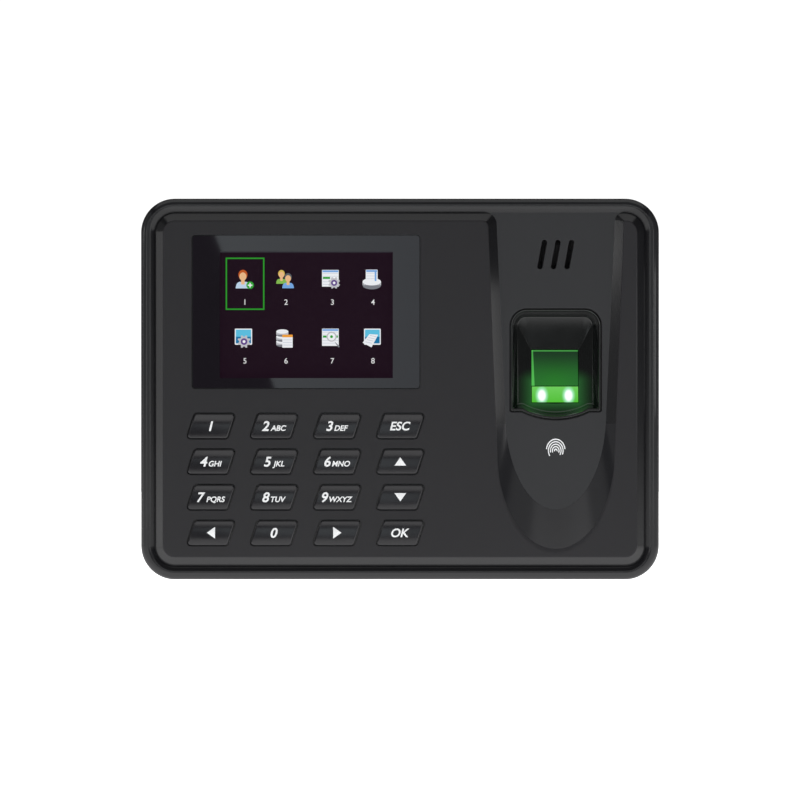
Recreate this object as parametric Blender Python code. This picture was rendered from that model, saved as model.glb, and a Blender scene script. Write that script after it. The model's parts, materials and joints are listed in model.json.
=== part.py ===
"""Wall-hung fingerprint time terminal: casing, keypad, display, finger sensor, speaker and wall plate.

World axes: +X to the right of someone facing the terminal, +Z up, and the front faces -Y.
The wall is the plane Y = 0. "Depth" below means distance out from the wall, so Y = -depth.
The origin is on the wall plate's rear face, level with the middle of the casing.
"""

import math

import bmesh
import bpy
from mathutils import Matrix, Vector

MM = 0.001

# ---------------------------------------------------------------- driving dimensions

WIDTH = 180.0 * MM
HEIGHT = 132.4 * MM
DEPTH = 36.0 * MM
CORNER_RADIUS = 11.8 * MM


def below_top(distance):
    """A height given by how far it lies below the casing's top edge."""
    return HEIGHT / 2 - distance


CLEARANCE = 0.3 * MM  # between any two separate pieces that seat on or slide in each other
WALL = 2.4 * MM

# Front cover: a rounded rim bead, a valley, then a chamfer up to the raised face.
FRONT_SIDE = 8.5 * MM
RIM_CREST_DROP = 0.9 * MM
FLOOR_DROP = 2.5 * MM
VALLEY_INSET = 4.75 * MM
VALLEY_CORNER = 7.05 * MM
FACE_INSET = 7.85 * MM
FACE_CORNER = 3.95 * MM
FACE_ROOT = 1.4  # the chamfer runs this many times its own height down, into the casing's floor
FACE_WALL = 3.0 * MM
FACE_POCKET_MARGIN = 2.4 * MM

# Finger channel: a tapering trough let into the raised face, open at the top.
CHANNEL_FROM_RIGHT = 35.9 * MM
CHANNEL_FACE_HALF = (23.7 * MM, 20.5 * MM)
CHANNEL_FLOOR_HALF = (20.7 * MM, 17.5 * MM)
CHANNEL_FACE_SPRING = below_top(89.1 * MM)
CHANNEL_FLOOR_SPRING = below_top(74.2 * MM)
CHANNEL_FACE_BOWL = 33.3 * MM
CHANNEL_FLOOR_BOWL = 33.6 * MM
CHANNEL_FACE_CORNERS = (0.3 * MM, 2.0 * MM)
CHANNEL_FLOOR_CORNERS = (3.0 * MM, 4.2 * MM)
CHANNEL_BOWL_STEPS = 24

# Display
WINDOW_WIDTH = 78.7 * MM
WINDOW_HEIGHT = 52.9 * MM
WINDOW_THICK = 1.5 * MM
WINDOW_CORNER = 1.0 * MM
WINDOW_SET_BACK = 0.1 * MM
WINDOW_FROM_LEFT = 57.4 * MM
WINDOW_Z = below_top(39.4 * MM)
VIEW_WIDTH = 64.0 * MM
VIEW_HEIGHT = 47.5 * MM
LCD_WIDTH = 69.2 * MM
LCD_HEIGHT = 50.2 * MM
LCD_PANEL_THICK = 1.2 * MM
LCD_FRAME_THICK = 3.5 * MM
LCD_FRAME_LIP = 1.3 * MM
LCD_RIBBON_WIDTH = 20.0 * MM
RIBBON_THICK = 0.3 * MM

# Keypad: four columns by four rows of slanted key caps
KEY_WIDTH = 14.1 * MM
KEY_HEIGHT = 8.6 * MM
KEY_SLANT = 2.8 * MM
KEY_CORNER = 1.0 * MM
KEY_PITCH_X = 21.87 * MM
KEY_PITCH_Z = 12.34 * MM
KEYPAD_FROM_LEFT = 57.3 * MM
KEYPAD_FROM_BOTTOM = 34.9 * MM
KEY_SIDE_GAP = 0.4 * MM
KEY_PROUD = 0.9 * MM
KEY_EDGE = 0.4 * MM
KEY_FLANGE = 1.0 * MM
KEY_FLANGE_THICK = 1.0 * MM
KEY_STEM = 0.8 * MM
KEY_STEM_INSET = 2.6 * MM
KEY_TRAVEL = 0.7 * MM
DOME_HEIGHT = 0.9 * MM
DOME_RADIUS = 3.0 * MM
MAT_THICK = 0.8 * MM
MAT_MARGIN_X = 8.6 * MM
MAT_MARGIN_Z = 6.0 * MM
MAT_CORNER = 2.0 * MM
KEY_ROWS = (
    ("key_1", "key_2", "key_3", "key_escape"),
    ("key_4", "key_5", "key_6", "key_up"),
    ("key_7", "key_8", "key_9", "key_down"),
    ("key_left", "key_0", "key_right", "key_enter"),
)

# Main board and what stands on it
BOARD_THICK = 1.6 * MM
BOARD_LEFT = 8.0 * MM
BOARD_WIDTH = 99.0 * MM
BOARD_BOTTOM = 5.7 * MM
BOARD_HEIGHT = 112.0 * MM
BOARD_POST_RADIUS = 2.5 * MM
BOARD_POST_MARGIN_X = 4.0 * MM
BOARD_POST_LOW = 14.5 * MM
BOARD_POST_LOW_RIGHT = 7.5 * MM
BOARD_POST_HIGH = 5.5 * MM
SMALL_SCREW_RADIUS = 1.0 * MM
SMALL_SCREW_HEAD_RADIUS = 1.9 * MM
SMALL_SCREW_HEAD = 1.3 * MM
SMALL_SCREW_GRIP = 2.8 * MM
PROCESSOR_SIDE = 20.0 * MM
PROCESSOR_THICK = 1.4 * MM
COIN_CELL_RADIUS = 10.0 * MM
COIN_CELL_THICK = 3.2 * MM
COIN_CELL_SHELF = 1.0 * MM
USB_WIDTH = 14.5 * MM
USB_HEIGHT = 7.0 * MM
USB_LENGTH = 14.0 * MM
USB_SHELL = 1.0 * MM
USB_TONGUE = 1.8 * MM
USB_FROM_LEFT = 50.2 * MM
JACK_WIDTH = 9.0 * MM
JACK_HEIGHT = 9.5 * MM
JACK_LENGTH = 13.5 * MM
JACK_BORE_RADIUS = 3.15 * MM
JACK_PIN_RADIUS = 1.0 * MM
JACK_FROM_LEFT = 74.5 * MM
RESET_FROM_LEFT = 34.0 * MM
RESET_BODY = 6.0 * MM
RESET_BODY_LENGTH = 4.0 * MM
RESET_PLUNGER_RADIUS = 1.4 * MM
RESET_PLUNGER_REACH = 1.2 * MM
RESET_TRAVEL = 0.3 * MM
RESET_PINHOLE_RADIUS = 1.0 * MM
PORT_SET_BACK = 0.3 * MM
CONNECTOR_THICK = 2.0 * MM
CONNECTOR_LENGTH = 4.5 * MM
CONNECTOR_CHEEK = 1.5 * MM

# Finger sensor
WELL_HALF_WIDTH = 15.9 * MM
WELL_TOP = below_top(38.2 * MM)
WELL_BOTTOM = below_top(74.1 * MM)
WELL_TOP_RADIUS = 5.8 * MM
WELL_BOTTOM_RADIUS = 0.8 * MM
WELL_LIP_HALF = 11.75 * MM
WELL_LIP_SAG = 2.75 * MM
BEZEL_SET_BACK = 0.3 * MM
BEZEL_FLANGE = 2.0 * MM
BEZEL_FLANGE_THICK = 1.5 * MM
BEZEL_WALL = 1.5 * MM
PRISM_HALF_WIDTH = 8.0 * MM
PRISM_TOP = below_top(52.6 * MM)
PRISM_BOTTOM = below_top(65.0 * MM)
PRISM_TOP_DROP = 12.1 * MM
PRISM_SLOPE = 0.257
PRISM_FOOT_DROP = 16.5 * MM
LIGHT_BAR_BOTTOM = below_top(70.8 * MM)
LIGHT_BAR_FOOT_DROP = 12.5 * MM
LED_SPREAD = 4.66 * MM
LED_SIDE = 2.8 * MM
LED_HEIGHT = below_top(68.2 * MM)
LED_THICK = 1.3 * MM
CHASSIS_HALF_WIDTH = 13.0 * MM
CHASSIS_TOP = below_top(48.2 * MM)
CHASSIS_BOTTOM = below_top(76.2 * MM)
CHASSIS_LENGTH = 9.6 * MM
CHASSIS_EAR_REACH = 24.0 * MM
CHASSIS_EAR_HALF = 4.0 * MM
CHASSIS_EAR_THICK = 1.7 * MM
CHASSIS_SCREW_X = 21.0 * MM
CHASSIS_SCREW_Z = below_top(57.2 * MM)
SENSOR_POST_RADIUS = 2.8 * MM
CAMERA_SIDE = 8.0 * MM
CAMERA_BASE = 2.0 * MM
CAMERA_LENS_RADIUS = 3.0 * MM
CAMERA_LENS = 3.0 * MM
SENSOR_BOARD_MARGIN = 2.0 * MM
SENSOR_CABLE_WIDTH = 10.0 * MM

# Speaker behind three slanted slots
SPEAKER_HEIGHT = below_top(19.4 * MM)
SPEAKER_RADIUS = 12.5 * MM
SPEAKER_RING = 1.3 * MM
SPEAKER_RING_LENGTH = 5.5 * MM
SPEAKER_GASKET = 0.8 * MM
SPEAKER_FRAME = 4.4 * MM
SPEAKER_WALL = 0.8 * MM
SPEAKER_MAGNET_RADIUS = 6.5 * MM
SPEAKER_MAGNET = 3.2 * MM
SLOT_WIDTH = 1.65 * MM
SLOT_LENGTH = 10.2 * MM
SLOT_PITCH = 4.7 * MM
SLOT_LEAN = 10.3

# Rear cover, its screws, and the wall plate that it hangs on
REAR_STEP = 0.6 * MM
REAR_BACK_INSET = 4.2 * MM
REAR_BACK = 0.3 * MM
REAR_FLOOR = 2.2 * MM
LIP_THICK = 1.2 * MM
LIP_HEIGHT = 1.5 * MM
LIP_ROOT = 5.0 * MM
SCREW_INSET = 10.2 * MM
SCREW_BOSS_RADIUS = 3.5 * MM
SCREW_TOWER_WALL = 1.4 * MM
SCREW_RADIUS = 1.45 * MM
SCREW_HEAD_RADIUS = 2.7 * MM
SCREW_HEAD = 2.0 * MM
SCREW_SEAT = 12.0 * MM
SCREW_JOINT_DROP = 12.0 * MM
SCREW_GRIP = 5.5 * MM
PLATE_THICK = 1.5 * MM
PLATE_HALF_WIDTH = 58.0 * MM
PLATE_TOP = 43.0 * MM
PLATE_BOTTOM_MARGIN = 9.2 * MM
PLATE_CORNER = 4.0 * MM
PLATE_RECESS_MARGIN = 1.0 * MM
PLATE_RECESS = 5.0 * MM
PLATE_HOLE_RADIUS = 2.25 * MM
PLATE_HOLE_X = 40.0 * MM
PLATE_HOLE_TOP = 32.0 * MM
PLATE_HOLE_BOTTOM = -40.0 * MM
HOOK_X = 46.0 * MM
HOOK_TOP = 24.0 * MM
HOOK_BOTTOM = -26.0 * MM
HOOK_WIDTH = 8.0 * MM
HOOK_REACH = 4.0 * MM
TAB_HALF_WIDTH = 6.0 * MM
TAB_LENGTH = 12.0 * MM
LOCK_SCREW_DEPTH = 9.0 * MM
LOCK_BOSS_HALF = 5.0 * MM
LOCK_BOSS_LENGTH = 4.4 * MM
LOCK_HEAD_SET_BACK = 0.6 * MM

# Facets
CORNER_STEPS = 6
SMALL_CORNER_STEPS = 2
ROUND_STEPS = 24
SCREW_STEPS = 12

# ---------------------------------------------------------------- places worked out from them

FLOOR_LEVEL = DEPTH - FLOOR_DROP
SEAM = DEPTH - FRONT_SIDE
FLOOR_INSIDE = FLOOR_LEVEL - WALL
FACE_INSIDE = DEPTH - FACE_WALL
REAR_EDGE = SEAM - CLEARANCE

CHANNEL_X = WIDTH / 2 - CHANNEL_FROM_RIGHT
WINDOW_X = -WIDTH / 2 + WINDOW_FROM_LEFT
WINDOW_FRONT = DEPTH - WINDOW_SET_BACK
WINDOW_BACK = WINDOW_FRONT - WINDOW_THICK
LCD_FRONT = FACE_INSIDE - CLEARANCE
LCD_BACK = LCD_FRONT - LCD_FRAME_THICK

KEYPAD_X = -WIDTH / 2 + KEYPAD_FROM_LEFT
KEYPAD_Z = -HEIGHT / 2 + KEYPAD_FROM_BOTTOM
KEY_FLANGE_FRONT = FACE_INSIDE - CLEARANCE
KEY_FLANGE_BACK = KEY_FLANGE_FRONT - KEY_FLANGE_THICK
KEY_STEM_BACK = KEY_FLANGE_BACK - KEY_STEM
DOME_TOP = KEY_STEM_BACK - KEY_TRAVEL - CLEARANCE
MAT_FRONT = DOME_TOP - DOME_HEIGHT
MAT_BACK = MAT_FRONT - MAT_THICK

BOARD_FRONT = MAT_BACK - CLEARANCE
BOARD_BACK = BOARD_FRONT - BOARD_THICK
CHIP_SEAT = BOARD_BACK - CLEARANCE
BOARD_X = (-WIDTH / 2 + BOARD_LEFT, -WIDTH / 2 + BOARD_LEFT + BOARD_WIDTH)
BOARD_Z = (-HEIGHT / 2 + BOARD_BOTTOM, -HEIGHT / 2 + BOARD_BOTTOM + BOARD_HEIGHT)

SCREW_X = WIDTH / 2 - SCREW_INSET
SCREW_Z = HEIGHT / 2 - SCREW_INSET
SCREW_JOINT = DEPTH - SCREW_JOINT_DROP

PRISM_FOOT = DEPTH - PRISM_FOOT_DROP
CHASSIS_FRONT = DEPTH - LIGHT_BAR_FOOT_DROP - 2 * CLEARANCE - LED_THICK
CHASSIS_BACK = CHASSIS_FRONT - CHASSIS_LENGTH
EAR_FRONT = CHASSIS_FRONT - CLEARANCE
SENSOR_BOARD_FRONT = CHASSIS_BACK - CLEARANCE
SENSOR_BOARD_BACK = SENSOR_BOARD_FRONT - BOARD_THICK
LED_FRONT = CHASSIS_FRONT + CLEARANCE + LED_THICK

PLATE_BOTTOM = -HEIGHT / 2 + PLATE_BOTTOM_MARGIN
RECESS_INSIDE = PLATE_RECESS + REAR_FLOOR

# colour (linear), roughness, metallic
FINISHES = {
    "case": ((0.026, 0.027, 0.029), 0.5, 0.0),
    "gloss": ((0.008, 0.008, 0.009), 0.12, 0.0),
    "glass": ((0.02, 0.02, 0.022), 0.05, 0.0),
    "key": ((0.012, 0.012, 0.014), 0.2, 0.0),
    "screen": ((0.012, 0.008, 0.014), 0.3, 0.0),
    "rubber": ((0.05, 0.05, 0.05), 0.8, 0.0),
    "board": ((0.01, 0.09, 0.04), 0.45, 0.0),
    "chip": ((0.01, 0.01, 0.01), 0.6, 0.0),
    "steel": ((0.55, 0.56, 0.57), 0.35, 1.0),
    "tin": ((0.7, 0.71, 0.72), 0.3, 1.0),
    "white": ((0.7, 0.7, 0.68), 0.5, 0.0),
    "prism": ((0.05, 0.5, 0.12), 0.05, 0.0),
    "ribbon": ((0.25, 0.12, 0.03), 0.4, 0.0),
    "paper": ((0.05, 0.05, 0.055), 0.9, 0.0),
}


# ---------------------------------------------------------------- outlines: lists of (x, z)


def rounded(corners, steps=SMALL_CORNER_STEPS):
    """A closed anticlockwise outline whose (x, z, radius) corners are each an arc of `steps` pieces."""
    points = []
    for i, (x, z, radius) in enumerate(corners):
        before = Vector(corners[i - 1][:2])
        after = Vector(corners[(i + 1) % len(corners)][:2])
        here = Vector((x, z))
        if radius <= 0:
            points.append((x, z))
            continue
        back = (before - here).normalized()
        on = (after - here).normalized()
        half = back.angle(on) / 2
        centre = here + (back + on).normalized() * radius / math.sin(half)
        start = here + back * radius / math.tan(half) - centre
        sweep = math.pi - 2 * half
        turn = 1 if back.cross(on) < 0 else -1
        for k in range(steps + 1):
            angle = turn * sweep * k / steps
            spoke = Matrix.Rotation(angle, 2) @ start
            points.append(tuple(centre + spoke))
    return points


def rounded_box(x0, x1, z0, z1, radius, steps=SMALL_CORNER_STEPS):
    return rounded([(x0, z0, radius), (x1, z0, radius), (x1, z1, radius), (x0, z1, radius)], steps)


def casing_outline(inset):
    """The casing's rounded rectangle, moved inwards by `inset` all round."""
    x = WIDTH / 2 - inset
    z = HEIGHT / 2 - inset
    return rounded_box(-x, x, -z, z, CORNER_RADIUS - inset, CORNER_STEPS)


def face_outline(inset, radius, halves, spring, bowl, corners):
    """The raised face: a rounded rectangle less the channel, which ends in half an ellipse."""
    x = WIDTH / 2 - inset
    z = HEIGHT / 2 - inset
    right, left = corners
    start = (CHANNEL_X + halves[0], z, 0)
    base = rounded([(-x, -z, radius), (x, -z, radius), (x, z, radius), start], CORNER_STEPS)[:-1]
    down = (CHANNEL_X + halves[1], spring)
    shoulder = rounded([(x, z, 0), (CHANNEL_X + halves[0], z, right), (*down, 0)], CORNER_STEPS)[1:-1]
    bowl_points = []
    for k in range(CHANNEL_BOWL_STEPS + 1):
        angle = math.pi * k / CHANNEL_BOWL_STEPS
        bowl_points.append((CHANNEL_X + halves[1] * math.cos(angle), spring - bowl * math.sin(angle)))
    up = bowl_points[-1]
    far = rounded([(*up, 0), (CHANNEL_X - halves[0], z, left), (-x, z, 0)], CORNER_STEPS)[1:-1]
    last = rounded([(CHANNEL_X - halves[0], z, 0), (-x, z, radius), (-x, -z, 0)], CORNER_STEPS)[1:-1]
    return base + shoulder + bowl_points + far + last


def key_outline(x, z, grow):
    """A key cap's slanted rounded outline about (x, z), grown by `grow` all round."""
    lean = KEY_SLANT / KEY_HEIGHT
    half_height = KEY_HEIGHT / 2 + grow
    half_width = KEY_WIDTH / 2 + grow * math.hypot(1, lean)
    shift = lean * half_height
    radius = max(KEY_CORNER + grow, KEY_CORNER / 3)
    corners = [
        (x - half_width - shift, z - half_height, radius),
        (x + half_width - shift, z - half_height, radius),
        (x + half_width + shift, z + half_height, radius),
        (x - half_width + shift, z + half_height, radius),
    ]
    return rounded(corners)


def pocket_outline(half_width, top, bottom, top_radius, bottom_radius, lip_half, lip_sag, steps=8):
    """A finger pocket about the channel's axis, whose lower edge bows down in the middle."""
    lip = []
    radius = (lip_half**2 + lip_sag**2) / (2 * lip_sag)
    reach = math.asin(lip_half / radius)
    for k in range(steps + 1):
        angle = reach * (2 * k / steps - 1)
        rise = radius * (1 - math.cos(angle))
        lip.append((CHANNEL_X + radius * math.sin(angle), bottom - lip_sag + rise, 0))
    left = CHANNEL_X - half_width
    right = CHANNEL_X + half_width
    corners = [(left, bottom, bottom_radius), *lip, (right, bottom, bottom_radius)]
    corners += [(right, top, top_radius), (left, top, top_radius)]
    return rounded(corners, 5)


def well_outline(grow):
    """The finger well's outline in the channel floor, grown by `grow` all round."""
    radius = (WELL_LIP_HALF**2 + WELL_LIP_SAG**2) / (2 * WELL_LIP_SAG) + grow
    sag = WELL_LIP_SAG
    lip_half = math.sqrt(radius**2 - (radius - sag) ** 2)
    return pocket_outline(
        WELL_HALF_WIDTH + grow,
        WELL_TOP + grow,
        WELL_BOTTOM - grow,
        WELL_TOP_RADIUS + grow,
        max(WELL_BOTTOM_RADIUS + grow, WELL_BOTTOM_RADIUS / 2),
        lip_half,
        sag,
    )


def sensor_opening(grow):
    """The bezel's opening round the prism and the light bar, as many points as a well outline."""
    return pocket_outline(
        PRISM_HALF_WIDTH + CLEARANCE + grow,
        PRISM_TOP + CLEARANCE + grow,
        LIGHT_BAR_BOTTOM - CLEARANCE - grow,
        CLEARANCE + grow,
        CLEARANCE + grow,
        PRISM_HALF_WIDTH / 2,
        CLEARANCE / 2,
    )


def platen_depth(z):
    """Depth of the tilted plane that the prism's and light bar's faces share."""
    return DEPTH - PRISM_TOP_DROP + PRISM_SLOPE * (PRISM_TOP - z)


def between(a, b, share):
    """An outline `share` of the way from a to b, which have as many points."""
    return [(p[0] + (q[0] - p[0]) * share, p[1] + (q[1] - p[1]) * share) for p, q in zip(a, b)]


def circle(x, z, radius, steps=ROUND_STEPS):
    return [
        (x + radius * math.cos(2 * math.pi * k / steps), z + radius * math.sin(2 * math.pi * k / steps))
        for k in range(steps)
    ]


def smooth_path(points, steps=6):
    """A Catmull-Rom curve through 2-D points."""
    ends = [points[0], *points, points[-1]]
    path = []
    for i in range(1, len(ends) - 2):
        a, b, c, d = (Vector(p) for p in ends[i - 1 : i + 3])
        bend = 2 * a - 5 * b + 4 * c - d
        twist = 3 * b - a - 3 * c + d
        for k in range(steps):
            t = k / steps
            path.append(b + 0.5 * ((c - a) * t + bend * t**2 + twist * t**3))
    path.append(Vector(points[-1]))
    return path


# ---------------------------------------------------------------- shapes added to a bmesh


def at(x, depth, z):
    return Vector((x, -depth, z))


def add_loft(bm, rings, closed=False):
    """Skins rings of equal count. Each ring is a list of world points. Ends are capped unless closed."""
    loops = [[bm.verts.new(p) for p in ring] for ring in rings]
    pairs = list(zip(loops, loops[1:]))
    if closed:
        pairs.append((loops[-1], loops[0]))
    for low, high in pairs:
        for k in range(len(low)):
            j = (k + 1) % len(low)
            bm.faces.new((low[k], low[j], high[j], high[k]))
    if not closed:
        bm.faces.new(loops[0])
        bm.faces.new(loops[-1])


def add_collar(bm, outer, inner, near, far):
    """A wall between two outlines of as many points, standing from one depth to another."""
    rings = [ring_at(outer, near), ring_at(outer, far), ring_at(inner, far), ring_at(inner, near)]
    add_loft(bm, rings, closed=True)


def ring_at(outline, depth):
    """A ring in the world from an outline. `depth` is a number, or a function of z."""
    return [at(x, depth(z) if callable(depth) else depth, z) for x, z in outline]


def add_prism(bm, outline, near, far):
    """An outline extruded between two depths."""
    face = bm.faces.new([bm.verts.new(at(x, near, z)) for x, z in outline])
    out = bmesh.ops.extrude_face_region(bm, geom=[face])["geom"]
    moved = [v for v in out if isinstance(v, bmesh.types.BMVert)]
    bmesh.ops.translate(bm, verts=moved, vec=at(0, far - near, 0))


def add_box(bm, x, depth, z):
    """A box between the two values of each pair."""
    size = (x[1] - x[0], depth[1] - depth[0], z[1] - z[0])
    middle = at((x[0] + x[1]) / 2, (depth[0] + depth[1]) / 2, (z[0] + z[1]) / 2)
    placing = Matrix.Translation(middle) @ Matrix.Diagonal((*size, 1))
    bmesh.ops.create_cube(bm, size=1, matrix=placing)


def add_rod(bm, start, end, radius, steps=ROUND_STEPS, end_radius=None):
    """A cylinder or cone between two world points."""
    along = end - start
    placing = Matrix.Translation((start + end) / 2) @ along.to_track_quat("Z", "Y").to_matrix().to_4x4()
    bmesh.ops.create_cone(
        bm,
        cap_ends=True,
        segments=steps,
        radius1=radius,
        radius2=radius if end_radius is None else end_radius,
        depth=along.length,
        matrix=placing,
    )


def add_strip(bm, path, thick, low, high, place):
    """A flat ribbon: a 2-D path made `thick`, and drawn out from `low` to `high` by `place(u, v, w)`."""
    sides = ([], [])
    for i, point in enumerate(path):
        ahead = path[min(i + 1, len(path) - 1)]
        behind = path[max(i - 1, 0)]
        way = (ahead - behind).normalized()
        normal = Vector((-way.y, way.x)) * thick / 2
        sides[0].append(point + normal)
        sides[1].append(point - normal)
    outline = sides[0] + sides[1][::-1]
    face = bm.faces.new([bm.verts.new(place(p.x, p.y, low)) for p in outline])
    out = bmesh.ops.extrude_face_region(bm, geom=[face])["geom"]
    shift = place(0, 0, high) - place(0, 0, low)
    bmesh.ops.translate(bm, verts=[v for v in out if isinstance(v, bmesh.types.BMVert)], vec=shift)


# ---------------------------------------------------------------- objects


def finish_for(name, kind):
    colour, roughness, metallic = FINISHES[kind]
    material = bpy.data.materials.new(name + "_finish")
    material.use_nodes = True
    shader = material.node_tree.nodes["Principled BSDF"]
    shader.inputs["Base Color"].default_value = (*colour, 1)
    shader.inputs["Roughness"].default_value = roughness
    shader.inputs["Metallic"].default_value = metallic
    return material


def make(name, bm, kind, pivot=(0, 0, 0)):
    """Turns a bmesh into a named object with its own finish and its origin at `pivot`."""
    bmesh.ops.recalc_face_normals(bm, faces=bm.faces)
    bmesh.ops.translate(bm, verts=bm.verts, vec=-Vector(pivot))
    mesh = bpy.data.meshes.new(name)
    bm.to_mesh(mesh)
    bm.free()
    mesh.shade_smooth()
    mesh.set_sharp_from_angle(angle=math.radians(35))
    mesh.materials.append(finish_for(name, kind))
    piece = bpy.data.objects.new(name, mesh)
    piece.location = pivot
    bpy.context.scene.collection.objects.link(piece)
    return piece


def helper(name, bm):
    """A shape that only cuts or joins, left out of the object."""
    bmesh.ops.recalc_face_normals(bm, faces=bm.faces)
    mesh = bpy.data.meshes.new(name)
    bm.to_mesh(mesh)
    bm.free()
    piece = bpy.data.objects.new(name, mesh)
    piece.hide_render = True
    piece.display_type = "WIRE"
    bpy.context.scene.collection.objects.link(piece)
    return piece


def boolean(piece, other, operation):
    modifier = piece.modifiers.new(f"{operation.lower()}_{other.name}", "BOOLEAN")
    modifier.operation = operation
    modifier.solver = "EXACT"
    modifier.object = other


def cut(piece, name, bm):
    boolean(piece, helper(name, bm), "DIFFERENCE")


def fuse(piece, name, bm):
    boolean(piece, helper(name, bm), "UNION")


def key_places():
    """(node name, x, z) of each key cap."""
    for row, names in enumerate(KEY_ROWS):
        for column, name in enumerate(names):
            x = KEYPAD_X + (column - 1.5) * KEY_PITCH_X
            z = KEYPAD_Z + (1.5 - row) * KEY_PITCH_Z
            yield name, x, z


def cover_screw_places():
    return [(sx * SCREW_X, sz * SCREW_Z) for sx in (-1, 1) for sz in (-1, 1)]


def board_post_places():
    left = BOARD_X[0] + BOARD_POST_MARGIN_X
    right = BOARD_X[1] - BOARD_POST_MARGIN_X
    return [
        (left, BOARD_Z[0] + BOARD_POST_LOW),
        (left, BOARD_Z[1] - BOARD_POST_HIGH),
        (right, BOARD_Z[0] + BOARD_POST_LOW_RIGHT),
        (right, BOARD_Z[1] - BOARD_POST_HIGH),
    ]


def sensor_post_places():
    return [(CHANNEL_X + side * CHASSIS_SCREW_X, CHASSIS_SCREW_Z) for side in (-1, 1)]


# ---------------------------------------------------------------- casing


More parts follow.
